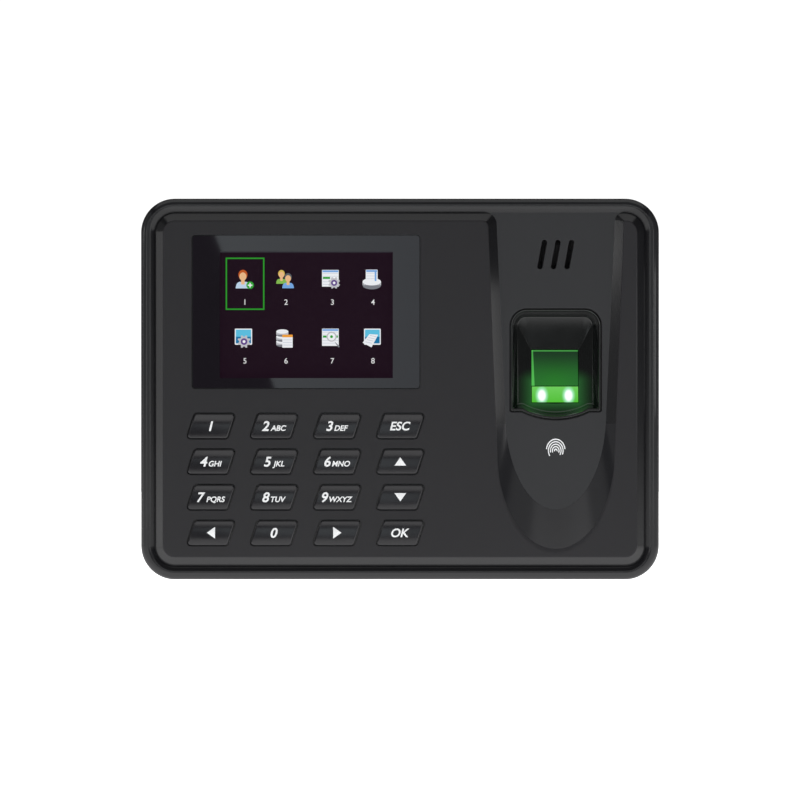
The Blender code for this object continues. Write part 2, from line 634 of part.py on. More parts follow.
def build_front_cover():
    bead = [  # (inset, depth) from the seam, over the rim, down to the valley
        (0, SEAM),
        (0, DEPTH - RIM_CREST_DROP - 2.1 * MM),
        (0.3 * MM, DEPTH - RIM_CREST_DROP - 1.0 * MM),
        (1.1 * MM, DEPTH - RIM_CREST_DROP - 0.25 * MM),
        (2.2 * MM, DEPTH - RIM_CREST_DROP),
        (3.3 * MM, DEPTH - RIM_CREST_DROP - 0.4 * MM),
        (VALLEY_INSET + 0.3 * MM, FLOOR_LEVEL),
    ]
    bm = bmesh.new()
    add_loft(bm, [ring_at(casing_outline(inset), depth) for inset, depth in bead])
    cover = make("front_cover", bm, "case")

    edge = (CHANNEL_FACE_HALF, CHANNEL_FACE_SPRING, CHANNEL_FACE_BOWL, CHANNEL_FACE_CORNERS)
    face = face_outline(FACE_INSET, FACE_CORNER, *edge)
    floor = (CHANNEL_FLOOR_HALF, CHANNEL_FLOOR_SPRING, CHANNEL_FLOOR_BOWL, CHANNEL_FLOOR_CORNERS)
    foot = face_outline(VALLEY_INSET, VALLEY_CORNER, *floor)
    bm = bmesh.new()
    sunk = between(face, foot, FACE_ROOT)
    add_loft(bm, [ring_at(sunk, DEPTH - FLOOR_DROP * FACE_ROOT), ring_at(face, DEPTH)])
    fuse(cover, "raised_face", bm)

    bm = bmesh.new()
    add_prism(bm, casing_outline(WALL), SEAM - WALL, FLOOR_INSIDE)
    cut(cover, "front_cavity", bm)

    bm = bmesh.new()
    left = -WIDTH / 2 + FACE_INSET + FACE_POCKET_MARGIN
    right = CHANNEL_X - CHANNEL_FACE_HALF[0] - FACE_POCKET_MARGIN
    top = HEIGHT / 2 - FACE_INSET - FACE_POCKET_MARGIN
    add_prism(bm, rounded_box(left, right, -top, top, 2 * MM), FLOOR_INSIDE - WALL, FACE_INSIDE)
    cut(cover, "face_pocket", bm)

    bm = bmesh.new()
    for x, z in board_post_places():
        add_rod(bm, at(x, BOARD_FRONT + CLEARANCE, z), at(x, DEPTH - FACE_WALL / 2, z), BOARD_POST_RADIUS)
    for x, z in cover_screw_places():
        add_rod(bm, at(x, SCREW_JOINT + CLEARANCE, z), at(x, FLOOR_LEVEL - CLEARANCE, z), SCREW_BOSS_RADIUS)
    for x, z in sensor_post_places():
        add_rod(bm, at(x, EAR_FRONT + CLEARANCE, z), at(x, FLOOR_LEVEL - CLEARANCE, z), SENSOR_POST_RADIUS)
    fuse(cover, "front_posts", bm)

    ring = SPEAKER_RADIUS + CLEARANCE + SPEAKER_RING
    bm = bmesh.new()
    outer = circle(CHANNEL_X, SPEAKER_HEIGHT, ring)
    inner = circle(CHANNEL_X, SPEAKER_HEIGHT, ring - SPEAKER_RING)
    add_collar(bm, outer, inner, FLOOR_INSIDE - SPEAKER_RING_LENGTH, FLOOR_LEVEL - WALL / 2)
    fuse(cover, "speaker_ring", bm)

    seat = (WINDOW_WIDTH / 2 + CLEARANCE, WINDOW_HEIGHT / 2 + CLEARANCE)
    x, depth, z = window_box(*seat, WINDOW_BACK - CLEARANCE, DEPTH + WALL)
    bm = bmesh.new()
    add_prism(bm, rounded_box(*x, *z, WINDOW_CORNER + CLEARANCE), *depth)
    cut(cover, "window_seat", bm)

    bm = bmesh.new()
    add_box(bm, *window_box(VIEW_WIDTH / 2, VIEW_HEIGHT / 2, FACE_INSIDE - WALL, DEPTH))
    for _, x, z in key_places():
        add_prism(bm, key_outline(x, z, KEY_SIDE_GAP), FACE_INSIDE - WALL, DEPTH + WALL)
    add_prism(bm, well_outline(0), FLOOR_INSIDE - WALL / 2, DEPTH + WALL)
    lean = math.tan(math.radians(SLOT_LEAN))
    half = SLOT_LENGTH / 2 - SLOT_WIDTH / 2
    for k in (-1, 0, 1):
        x = CHANNEL_X + k * SLOT_PITCH
        slot = []
        for sign, begin in ((1, 0.0), (-1, math.pi)):
            middle = Vector((x + sign * lean * half, SPEAKER_HEIGHT + sign * half))
            for step in range(7):
                angle = begin + math.pi * step / 6 - math.radians(SLOT_LEAN)
                slot.append(tuple(middle + Vector((math.cos(angle), math.sin(angle))) * SLOT_WIDTH / 2))
        add_prism(bm, slot, FLOOR_INSIDE - WALL / 2, DEPTH + WALL)
    cut(cover, "front_openings", bm)

    bm = bmesh.new()
    pilot = SMALL_SCREW_RADIUS + CLEARANCE
    grip = SMALL_SCREW_GRIP + 2 * CLEARANCE
    for x, z in board_post_places():
        add_rod(bm, at(x, BOARD_BACK, z), at(x, BOARD_FRONT + grip, z), pilot, SCREW_STEPS)
    for x, z in sensor_post_places():
        add_rod(bm, at(x, EAR_FRONT - WALL, z), at(x, EAR_FRONT + grip, z), pilot, SCREW_STEPS)
    for x, z in cover_screw_places():
        end = SCREW_JOINT + SCREW_GRIP + 2 * CLEARANCE
        add_rod(bm, at(x, SCREW_JOINT - WALL, z), at(x, end, z), SCREW_RADIUS + CLEARANCE, SCREW_STEPS)
    cut(cover, "front_pilot_holes", bm)
    return cover


def build_rear_cover():
    outside = [
        (REAR_STEP, REAR_EDGE),
        (REAR_STEP, REAR_BACK + 9.0 * MM),
        (REAR_STEP + 0.5 * MM, REAR_BACK + 5.0 * MM),
        (REAR_STEP + 1.6 * MM, REAR_BACK + 1.8 * MM),
        (REAR_BACK_INSET, REAR_BACK),
    ]
    bm = bmesh.new()
    add_loft(bm, [ring_at(casing_outline(inset), depth) for inset, depth in outside])
    cover = make("rear_cover", bm, "case")

    inside = [
        (REAR_STEP + WALL, REAR_EDGE + WALL),
        (REAR_STEP + WALL, REAR_BACK + REAR_FLOOR + 5.0 * MM),
        (REAR_STEP + WALL + 1.0 * MM, REAR_BACK + REAR_FLOOR + 1.4 * MM),
        (REAR_BACK_INSET + WALL, REAR_BACK + REAR_FLOOR),
    ]
    bm = bmesh.new()
    add_loft(bm, [ring_at(casing_outline(inset), depth) for inset, depth in inside])
    cut(cover, "rear_cavity", bm)

    bm = bmesh.new()
    outer = casing_outline(WALL + CLEARANCE)
    inner = casing_outline(WALL + CLEARANCE + LIP_THICK)
    add_collar(bm, outer, inner, REAR_EDGE - LIP_ROOT, SEAM + LIP_HEIGHT)
    fuse(cover, "rear_lip", bm)

    half = PLATE_HALF_WIDTH + PLATE_RECESS_MARGIN
    low = PLATE_BOTTOM - PLATE_RECESS_MARGIN
    high = PLATE_TOP + PLATE_RECESS_MARGIN
    bm = bmesh.new()
    add_prism(
        bm,
        rounded_box(-half - WALL, half + WALL, low - WALL, high + WALL, PLATE_CORNER + WALL),
        REAR_BACK + REAR_FLOOR / 2,
        RECESS_INSIDE,
    )
    for x, z in cover_screw_places():
        tower = SCREW_HEAD_RADIUS + CLEARANCE + SCREW_TOWER_WALL
        add_rod(bm, at(x, REAR_BACK + REAR_FLOOR / 2, z), at(x, SCREW_JOINT, z), tower)
    fuse(cover, "recess_block", bm)

    bottom = -HEIGHT / 2 + REAR_STEP
    bm = bmesh.new()
    add_box(
        bm,
        (-LOCK_BOSS_HALF, LOCK_BOSS_HALF),
        (RECESS_INSIDE - REAR_FLOOR / 2, LOCK_SCREW_DEPTH + LOCK_BOSS_HALF),
        (bottom + WALL / 2, bottom + WALL / 2 + LOCK_BOSS_LENGTH),
    )
    fuse(cover, "lock_boss", bm)

    bm = bmesh.new()
    add_prism(bm, rounded_box(-half, half, low, high, PLATE_CORNER), -WALL, PLATE_RECESS)
    cut(cover, "plate_recess", bm)

    bm = bmesh.new()
    for x in (-HOOK_X, HOOK_X):
        for z in (HOOK_TOP, HOOK_BOTTOM):
            side = HOOK_WIDTH / 2 + CLEARANCE
            slot = (z - PLATE_THICK - HOOK_REACH - CLEARANCE, z + CLEARANCE)
            add_box(bm, (x - side, x + side), (PLATE_RECESS - WALL, RECESS_INSIDE + WALL), slot)
    side = TAB_HALF_WIDTH + CLEARANCE
    tab = (PLATE_BOTTOM - CLEARANCE, PLATE_BOTTOM + PLATE_THICK + CLEARANCE)
    add_box(bm, (-side, side), (PLATE_RECESS - WALL, LOCK_SCREW_DEPTH + 2 * LOCK_BOSS_HALF), tab)
    cut(cover, "hook_slots", bm)

    bm = bmesh.new()
    for x, z in cover_screw_places():
        add_rod(bm, at(x, -WALL, z), at(x, SCREW_SEAT, z), SCREW_HEAD_RADIUS + CLEARANCE, SCREW_STEPS)
    add_rod(
        bm,
        at(0, LOCK_SCREW_DEPTH, bottom - WALL),
        at(0, LOCK_SCREW_DEPTH, bottom + LOCK_HEAD_SET_BACK + SCREW_HEAD + CLEARANCE),
        SCREW_HEAD_RADIUS + CLEARANCE,
        SCREW_STEPS,
    )
    cut(cover, "screw_head_recesses", bm)

    bm = bmesh.new()
    for x, z in cover_screw_places():
        add_rod(bm, at(x, REAR_BACK, z), at(x, SCREW_JOINT + WALL, z), SCREW_RADIUS + CLEARANCE, SCREW_STEPS)
    add_rod(
        bm,
        at(0, LOCK_SCREW_DEPTH, bottom - WALL),
        at(0, LOCK_SCREW_DEPTH, bottom + 3 * LOCK_BOSS_LENGTH),
        SCREW_RADIUS + CLEARANCE,
        SCREW_STEPS,
    )
    through = (bottom - 2 * WALL, bottom + 2 * WALL)
    add_box(
        bm,
        (usb_left() - CLEARANCE, usb_left() + USB_WIDTH + CLEARANCE),
        (CHIP_SEAT - USB_HEIGHT - CLEARANCE, CHIP_SEAT + CLEARANCE),
        through,
    )
    add_box(
        bm,
        (jack_left() - CLEARANCE, jack_left() + JACK_WIDTH + CLEARANCE),
        (CHIP_SEAT - JACK_HEIGHT - CLEARANCE, CHIP_SEAT + CLEARANCE),
        through,
    )
    x, depth = reset_axis()
    add_rod(bm, at(x, depth, through[0]), at(x, depth, through[1]), RESET_PINHOLE_RADIUS, SCREW_STEPS)
    cut(cover, "rear_openings", bm)
    return cover


# ---------------------------------------------------------------- fasteners and wall plate


def cross_outline(x, z, reach):
    """A plus sign, for a screw's cross recess."""
    arm = reach / 4
    quarter = [(arm, arm), (arm, reach), (-arm, reach)]
    points = []
    for turn in range(4):
        c, s = ((1, 0), (0, 1), (-1, 0), (0, -1))[turn]
        points += [(x + c * a - s * b, z + s * a + c * b) for a, b in quarter]
    return points


def build_depth_screw(name, x, z, seat, tip, radius, head_radius, head, kind):
    """A screw driven towards the front: its head lies behind `seat`, its shank ends at `tip`."""
    bm = bmesh.new()
    rings = [
        ring_at(circle(x, z, head_radius * 0.8, SCREW_STEPS), seat - head),
        ring_at(circle(x, z, head_radius, SCREW_STEPS), seat - head * 0.6),
        ring_at(circle(x, z, head_radius, SCREW_STEPS), seat),
        ring_at(circle(x, z, radius, SCREW_STEPS), seat),
        ring_at(circle(x, z, radius, SCREW_STEPS), tip - radius),
        ring_at(circle(x, z, radius * 0.4, SCREW_STEPS), tip),
    ]
    add_loft(bm, rings)
    screw = make(name, bm, kind)
    bm = bmesh.new()
    add_prism(bm, cross_outline(x, z, head_radius * 0.55), seat - 2 * head, seat - head * 0.45)
    cut(screw, name + "_cross", bm)


def build_fasteners():
    large = (SCREW_RADIUS, SCREW_HEAD_RADIUS, SCREW_HEAD, "steel")
    for k, (x, z) in enumerate(cover_screw_places(), 1):
        seat = SCREW_SEAT - CLEARANCE
        build_depth_screw(f"cover_screw_{k}", x, z, seat, SCREW_JOINT + SCREW_GRIP, *large)
    small = (SMALL_SCREW_RADIUS, SMALL_SCREW_HEAD_RADIUS, SMALL_SCREW_HEAD, "steel")
    for k, (x, z) in enumerate(board_post_places(), 1):
        build_depth_screw(f"board_screw_{k}", x, z, CHIP_SEAT, BOARD_FRONT + SMALL_SCREW_GRIP, *small)
    for k, (x, z) in enumerate(sensor_post_places(), 1):
        seat = EAR_FRONT - CHASSIS_EAR_THICK - CLEARANCE
        build_depth_screw(f"sensor_screw_{k}", x, z, seat, EAR_FRONT + SMALL_SCREW_GRIP, *small)

    foot = -HEIGHT / 2 + REAR_STEP + LOCK_HEAD_SET_BACK
    seat = foot + SCREW_HEAD
    tip = PLATE_BOTTOM + PLATE_THICK + 2 * SCREW_RADIUS
    levels = [
        (SCREW_HEAD_RADIUS * 0.8, foot),
        (SCREW_HEAD_RADIUS, foot + SCREW_HEAD * 0.4),
        (SCREW_HEAD_RADIUS, seat),
        (SCREW_RADIUS, seat),
        (SCREW_RADIUS, tip - SCREW_RADIUS),
        (SCREW_RADIUS * 0.4, tip),
    ]
    bm = bmesh.new()
    rings = []
    for radius, z in levels:
        rings.append([at(u, LOCK_SCREW_DEPTH + v, z) for u, v in circle(0, 0, radius, SCREW_STEPS)])
    add_loft(bm, rings)
    screw = make("lock_screw", bm, "steel")
    bm = bmesh.new()
    recess = cross_outline(0, 0, SCREW_HEAD_RADIUS * 0.55)
    ends = (foot - WALL, foot + SCREW_HEAD * 0.55)
    add_loft(bm, [[at(u, LOCK_SCREW_DEPTH + v, z) for u, v in recess] for z in ends])
    cut(screw, "lock_screw_cross", bm)


def build_wall_plate():
    bm = bmesh.new()
    outline = rounded_box(-PLATE_HALF_WIDTH, PLATE_HALF_WIDTH, PLATE_BOTTOM, PLATE_TOP, PLATE_CORNER)
    add_prism(bm, outline, 0, PLATE_THICK)
    plate = make("wall_plate", bm, "steel")

    lip = RECESS_INSIDE + CLEARANCE
    bm = bmesh.new()
    for x in (-HOOK_X, HOOK_X):
        for z in (HOOK_TOP, HOOK_BOTTOM):
            side = (x - HOOK_WIDTH / 2, x + HOOK_WIDTH / 2)
            profile = [
                (PLATE_THICK / 2, z - PLATE_THICK),
                (lip + PLATE_THICK, z - PLATE_THICK),
                (lip + PLATE_THICK, z + HOOK_REACH),
                (lip, z + HOOK_REACH),
                (lip, z),
                (PLATE_THICK / 2, z),
            ]
            add_loft(bm, [[at(s, depth, height) for depth, height in profile] for s in side])
    tab = (PLATE_BOTTOM, PLATE_BOTTOM + PLATE_THICK)
    add_box(bm, (-TAB_HALF_WIDTH, TAB_HALF_WIDTH), (PLATE_THICK / 2, TAB_LENGTH), tab)
    fuse(plate, "plate_hooks", bm)

    bm = bmesh.new()
    for x in (-PLATE_HOLE_X, PLATE_HOLE_X):
        for z in (PLATE_HOLE_TOP, PLATE_HOLE_BOTTOM):
            add_rod(bm, at(x, -WALL, z), at(x, PLATE_THICK + WALL, z), PLATE_HOLE_RADIUS)
    below = at(0, LOCK_SCREW_DEPTH, tab[0] - WALL)
    above = at(0, LOCK_SCREW_DEPTH, tab[1] + WALL)
    add_rod(bm, below, above, SCREW_RADIUS + CLEARANCE, SCREW_STEPS)
    cut(plate, "plate_holes", bm)


# ---------------------------------------------------------------- display


def window_box(half_width, half_height, near, far):
    """The x, depth and z pairs of a box centred behind the window."""
    x = (WINDOW_X - half_width, WINDOW_X + half_width)
    z = (WINDOW_Z - half_height, WINDOW_Z + half_height)
    return x, (near, far), z


def build_display():
    bm = bmesh.new()
    x, depth, z = window_box(WINDOW_WIDTH / 2, WINDOW_HEIGHT / 2, WINDOW_BACK, WINDOW_FRONT)
    add_prism(bm, rounded_box(*x, *z, WINDOW_CORNER), *depth)
    make("display_window", bm, "glass")

    half = (LCD_WIDTH / 2, LCD_HEIGHT / 2)
    bm = bmesh.new()
    add_box(bm, *window_box(*half, LCD_BACK, LCD_FRONT))
    frame = make("lcd_frame", bm, "tin")
    floor = LCD_FRONT - LCD_PANEL_THICK - CLEARANCE
    inner = (half[0] - LCD_FRAME_LIP, half[1] - LCD_FRAME_LIP)
    bm = bmesh.new()
    add_box(bm, *window_box(*inner, floor, LCD_FRONT + WALL))
    cut(frame, "lcd_pocket", bm)

    bm = bmesh.new()
    add_box(bm, *window_box(inner[0] - CLEARANCE, inner[1] - CLEARANCE, floor + CLEARANCE, LCD_FRONT))
    make("lcd_panel", bm, "screen")

    edge = WINDOW_Z - half[1]
    dip = edge - 3.3 * MM
    end = edge + 3.0 * MM
    way = [
        (edge - CLEARANCE, LCD_BACK + 1.2 * MM),
        (edge - 2.0 * MM, LCD_BACK + 0.9 * MM),
        (dip, BOARD_FRONT),
        (dip, BOARD_BACK),
        (edge - 2.0 * MM, CHIP_SEAT - CONNECTOR_THICK * 0.6),
        (end - CLEARANCE, CHIP_SEAT - CONNECTOR_THICK * 0.6),
    ]
    bm = bmesh.new()
    low = WINDOW_X - LCD_RIBBON_WIDTH / 2
    high = WINDOW_X + LCD_RIBBON_WIDTH / 2
    add_strip(bm, smooth_path(way), RIBBON_THICK, low, high, lambda u, v, w: at(w, v, u))
    make("lcd_ribbon", bm, "ribbon")

    shell = (low - CONNECTOR_CHEEK, high + CONNECTOR_CHEEK)
    bm = bmesh.new()
    add_box(bm, shell, (CHIP_SEAT - CONNECTOR_THICK, CHIP_SEAT), (end, end + CONNECTOR_LENGTH))
    make("lcd_connector", bm, "white")


def lcd_ribbon_slot():
    """(x pair, z pair) of the slot in the main board that the display's ribbon passes through."""
    edge = WINDOW_Z - LCD_HEIGHT / 2
    half = LCD_RIBBON_WIDTH / 2 + 1.0 * MM
    return (WINDOW_X - half, WINDOW_X + half), (edge - 4.6 * MM, edge - 1.9 * MM)


# ---------------------------------------------------------------- keypad


def build_keypad():
    for name, x, z in key_places():
        sections = [
            (-KEY_STEM_INSET, KEY_STEM_BACK),
            (-KEY_STEM_INSET, KEY_FLANGE_BACK),
            (KEY_FLANGE, KEY_FLANGE_BACK),
            (KEY_FLANGE, KEY_FLANGE_FRONT),
            (0, KEY_FLANGE_FRONT),
            (0, DEPTH + KEY_PROUD - KEY_EDGE),
            (-KEY_EDGE, DEPTH + KEY_PROUD),
        ]
        bm = bmesh.new()
        add_loft(bm, [ring_at(key_outline(x, z, grow), depth) for grow, depth in sections])
        make(name, bm, "key", pivot=at(x, DEPTH, z))

    x = [KEYPAD_X + side * (1.5 * KEY_PITCH_X + MAT_MARGIN_X) for side in (-1, 1)]
    z = [KEYPAD_Z + side * (1.5 * KEY_PITCH_Z + MAT_MARGIN_Z) for side in (-1, 1)]
    bm = bmesh.new()
    add_prism(bm, rounded_box(*x, *z, MAT_CORNER), MAT_BACK, MAT_FRONT)
    mat = make("keypad_mat", bm, "rubber")
    bm = bmesh.new()
    for _, x, z in key_places():
        root = at(x, MAT_FRONT - MAT_THICK / 2, z)
        add_rod(bm, root, at(x, DOME_TOP, z), DOME_RADIUS, SCREW_STEPS, DOME_RADIUS * 0.7)
    fuse(mat, "keypad_domes", bm)


# ---------------------------------------------------------------- main board


def usb_left():
    return -WIDTH / 2 + USB_FROM_LEFT - USB_WIDTH / 2


def jack_left():
    return -WIDTH / 2 + JACK_FROM_LEFT - JACK_WIDTH / 2


def port_mouth():
    return -HEIGHT / 2 + REAR_STEP + PORT_SET_BACK


def reset_axis():
    """(x, depth) of the reset plunger's axis, which runs along Z."""
    return -WIDTH / 2 + RESET_FROM_LEFT, CHIP_SEAT - RESET_BODY / 2


def build_main_board():
    bm = bmesh.new()
    add_box(bm, BOARD_X, (BOARD_BACK, BOARD_FRONT), BOARD_Z)
    board = make("main_board", bm, "board")
    bm = bmesh.new()
    through = (BOARD_BACK - WALL, BOARD_FRONT + WALL)
    for x, z in board_post_places():
        add_rod(bm, at(x, through[0], z), at(x, through[1], z), SMALL_SCREW_RADIUS + CLEARANCE, SCREW_STEPS)
    x, z = cover_screw_places()[0]
    notch = SCREW_BOSS_RADIUS + 2 * CLEARANCE
    add_box(bm, (BOARD_X[0] - WALL, x + notch), through, (BOARD_Z[0] - WALL, z + notch))
    slot = lcd_ribbon_slot()
    add_box(bm, slot[0], through, slot[1])
    cut(board, "board_holes", bm)

    bm = bmesh.new()
    x = WINDOW_X
    z = WINDOW_Z + 6.0 * MM
    half = PROCESSOR_SIDE / 2
    add_box(bm, (x - half, x + half), (CHIP_SEAT - PROCESSOR_THICK, CHIP_SEAT), (z - half, z + half))
    make("processor", bm, "chip")

    x = KEYPAD_X - KEY_PITCH_X
    z = KEYPAD_Z + KEY_PITCH_Z / 2
    side = COIN_CELL_RADIUS + 1.5 * MM
    shelf = CHIP_SEAT - COIN_CELL_SHELF
    bm = bmesh.new()
    add_box(bm, (x - side, x + side), (shelf - COIN_CELL_THICK, CHIP_SEAT), (z - side, z + side))
    holder = make("coin_cell_holder", bm, "chip")
    bm = bmesh.new()
    add_rod(
        bm, at(x, shelf - 2 * COIN_CELL_THICK, z), at(x, shelf, z), COIN_CELL_RADIUS + CLEARANCE
    )
    cut(holder, "coin_cell_seat", bm)
    bm = bmesh.new()
    add_rod(bm, at(x, shelf - CLEARANCE - COIN_CELL_THICK, z), at(x, shelf - CLEARANCE, z), COIN_CELL_RADIUS)
    make("coin_cell", bm, "tin")

    build_ports()


def build_ports():
    mouth = port_mouth()
    x = (usb_left(), usb_left() + USB_WIDTH)
    depth = (CHIP_SEAT - USB_HEIGHT, CHIP_SEAT)
    bm = bmesh.new()
    add_box(bm, x, depth, (mouth, mouth + USB_LENGTH))
    usb = make("usb_socket", bm, "tin")
    tongue = depth[1] - USB_SHELL - USB_TONGUE
    profile = [
        (x[0] + USB_SHELL, depth[0] + USB_SHELL),
        (x[1] - USB_SHELL, depth[0] + USB_SHELL),
        (x[1] - USB_SHELL, depth[1] - USB_SHELL),
        (x[1] - 2 * USB_SHELL, depth[1] - USB_SHELL),
        (x[1] - 2 * USB_SHELL, tongue),
        (x[0] + 2 * USB_SHELL, tongue),
        (x[0] + 2 * USB_SHELL, depth[1] - USB_SHELL),
        (x[0] + USB_SHELL, depth[1] - USB_SHELL),
    ]
    ends = (mouth - WALL, mouth + USB_LENGTH - 2 * USB_SHELL)
    bm = bmesh.new()
    add_loft(bm, [[at(u, v, z) for u, v in profile] for z in ends])
    cut(usb, "usb_cavity", bm)

    x = (jack_left(), jack_left() + JACK_WIDTH)
    depth = (CHIP_SEAT - JACK_HEIGHT, CHIP_SEAT)
    axis = (sum(x) / 2, sum(depth) / 2)
    end = mouth + JACK_LENGTH - 2 * USB_SHELL
    bm = bmesh.new()
    add_box(bm, x, depth, (mouth, mouth + JACK_LENGTH))
    jack = make("power_jack", bm, "chip")
    bm = bmesh.new()
    rings = []
    for radius, z in (
        (JACK_BORE_RADIUS, mouth - WALL),
        (JACK_BORE_RADIUS, end),
        (JACK_PIN_RADIUS, end),
        (JACK_PIN_RADIUS, mouth + USB_SHELL),
    ):
        rings.append([at(axis[0] + u, axis[1] + v, z) for u, v in circle(0, 0, radius)])
    add_loft(bm, rings)
    cut(jack, "jack_bore", bm)

    x, depth = reset_axis()
    inside = -HEIGHT / 2 + WALL + CLEARANCE + LIP_THICK
    top = inside + CLEARANCE + RESET_TRAVEL + RESET_PLUNGER_REACH
    half = RESET_BODY / 2
    bm = bmesh.new()
    add_box(bm, (x - half, x + half), (depth - half, depth + half), (top, top + RESET_BODY_LENGTH))
    switch = make("reset_switch", bm, "chip")
    bore_end = top + RESET_BODY_LENGTH * 0.7
    bore = RESET_PLUNGER_RADIUS + CLEARANCE
    bm = bmesh.new()
    add_rod(bm, at(x, depth, top - WALL), at(x, depth, bore_end), bore, SCREW_STEPS)
    cut(switch, "reset_bore", bm)
    tip = at(x, depth, inside + CLEARANCE)
    root = at(x, depth, bore_end - RESET_TRAVEL - CLEARANCE)
    bm = bmesh.new()
    add_rod(bm, tip, root, RESET_PLUNGER_RADIUS, SCREW_STEPS)
    make("reset_plunger", bm, "white", pivot=tip)


# ---------------------------------------------------------------- finger sensor


def build_sensor():
    front = FLOOR_LEVEL - BEZEL_SET_BACK
    flange = FLOOR_INSIDE - CLEARANCE
    shoulder = well_outline(-CLEARANCE - 1.3 * MM)
    opening = sensor_opening(0)
    funnel = between(shoulder, opening, 0.12)
    rings = [
        ring_at(opening, lambda z: platen_depth(z) - BEZEL_WALL),
        ring_at(opening, lambda z: platen_depth(z) + CLEARANCE),
        ring_at(funnel, front - 2.2 * MM),
        ring_at(shoulder, front - 1.2 * MM),
        ring_at(well_outline(-CLEARANCE - 0.5 * MM), front - 0.2 * MM),
        ring_at(well_outline(-CLEARANCE - 0.3 * MM), front),
        ring_at(well_outline(-CLEARANCE), front - 0.2 * MM),
        ring_at(well_outline(-CLEARANCE), flange),
        ring_at(well_outline(BEZEL_FLANGE), flange),
        ring_at(well_outline(BEZEL_FLANGE), flange - BEZEL_FLANGE_THICK),
        ring_at(well_outline(-CLEARANCE - BEZEL_WALL), flange - BEZEL_FLANGE_THICK),
        ring_at(sensor_opening(BEZEL_WALL), lambda z: platen_depth(z) - BEZEL_WALL),
    ]
    bm = bmesh.new()
    add_loft(bm, rings, closed=True)
    make("sensor_bezel", bm, "gloss")

    sides = (CHANNEL_X - PRISM_HALF_WIDTH, CHANNEL_X + PRISM_HALF_WIDTH)
    bar_top = PRISM_BOTTOM - CLEARANCE
    pieces = (
        ("sensor_prism", PRISM_TOP, PRISM_BOTTOM, PRISM_FOOT, "prism"),
        ("light_bar", bar_top, LIGHT_BAR_BOTTOM, DEPTH - LIGHT_BAR_FOOT_DROP, "prism"),
    )
    for name, top, bottom, foot, kind in pieces:
        profile = [(top, foot), (top, platen_depth(top)), (bottom, platen_depth(bottom)), (bottom, foot)]
        bm = bmesh.new()
        add_loft(bm, [[at(x, depth, z) for z, depth in profile] for x in sides])
        make(name, bm, kind)

    for name, side in (("led_left", -1), ("led_right", 1)):
        x = CHANNEL_X + side * LED_SPREAD
        half = LED_SIDE / 2
        z = (LED_HEIGHT - half, LED_HEIGHT + half)
        bm = bmesh.new()
        add_box(bm, (x - half, x + half), (LED_FRONT - LED_THICK, LED_FRONT), z)
        make(name, bm, "white")

    bm = bmesh.new()
    add_box(
        bm,
        (CHANNEL_X - CHASSIS_HALF_WIDTH, CHANNEL_X + CHASSIS_HALF_WIDTH),
        (CHASSIS_BACK, CHASSIS_FRONT),
        (CHASSIS_BOTTOM, CHASSIS_TOP),
    )
    chassis = make("sensor_chassis", bm, "chip")
    bm = bmesh.new()
    add_box(
        bm,
        (CHANNEL_X - CHASSIS_EAR_REACH, CHANNEL_X + CHASSIS_EAR_REACH),
        (EAR_FRONT - CHASSIS_EAR_THICK, EAR_FRONT),
        (CHASSIS_SCREW_Z - CHASSIS_EAR_HALF, CHASSIS_SCREW_Z + CHASSIS_EAR_HALF),
    )
    fuse(chassis, "chassis_ears", bm)
    middle = (PRISM_TOP + PRISM_BOTTOM) / 2
    tunnel = CAMERA_SIDE / 2 + 2 * CLEARANCE
    bm = bmesh.new()
    add_box(
        bm,
        (sides[0] - CLEARANCE, sides[1] + CLEARANCE),
        (PRISM_FOOT - CLEARANCE, CHASSIS_FRONT + WALL),
        (PRISM_BOTTOM - CLEARANCE, PRISM_TOP + CLEARANCE),
    )
    cut(chassis, "prism_seat", bm)
    bm = bmesh.new()
    add_box(
        bm,
        (CHANNEL_X - tunnel, CHANNEL_X + tunnel),
        (CHASSIS_BACK - WALL, PRISM_FOOT + CLEARANCE),
        (middle - tunnel, middle + tunnel),
    )
    hole = SMALL_SCREW_RADIUS + CLEARANCE
    for x, z in sensor_post_places():
        behind = at(x, EAR_FRONT - 2 * CHASSIS_EAR_THICK, z)
        add_rod(bm, behind, at(x, EAR_FRONT + WALL, z), hole, SCREW_STEPS)
    cut(chassis, "camera_tunnel", bm)

    bm = bmesh.new()
    half = CAMERA_SIDE / 2
    base = CHASSIS_BACK + CAMERA_BASE
    add_box(bm, (CHANNEL_X - half, CHANNEL_X + half), (CHASSIS_BACK, base), (middle - half, middle + half))
    camera = make("sensor_camera", bm, "chip")
    root = at(CHANNEL_X, base - CAMERA_BASE / 2, middle)
    bm = bmesh.new()
    add_rod(bm, root, at(CHANNEL_X, base + CAMERA_LENS, middle), CAMERA_LENS_RADIUS)
    fuse(camera, "camera_lens", bm)

    margin = SENSOR_BOARD_MARGIN
    bm = bmesh.new()
    add_box(
        bm,
        (CHANNEL_X - CHASSIS_HALF_WIDTH - margin, CHANNEL_X + CHASSIS_HALF_WIDTH + margin),
        (SENSOR_BOARD_BACK, SENSOR_BOARD_FRONT),
        (CHASSIS_BOTTOM - margin, CHASSIS_TOP + margin),
    )
    make("sensor_board", bm, "board")

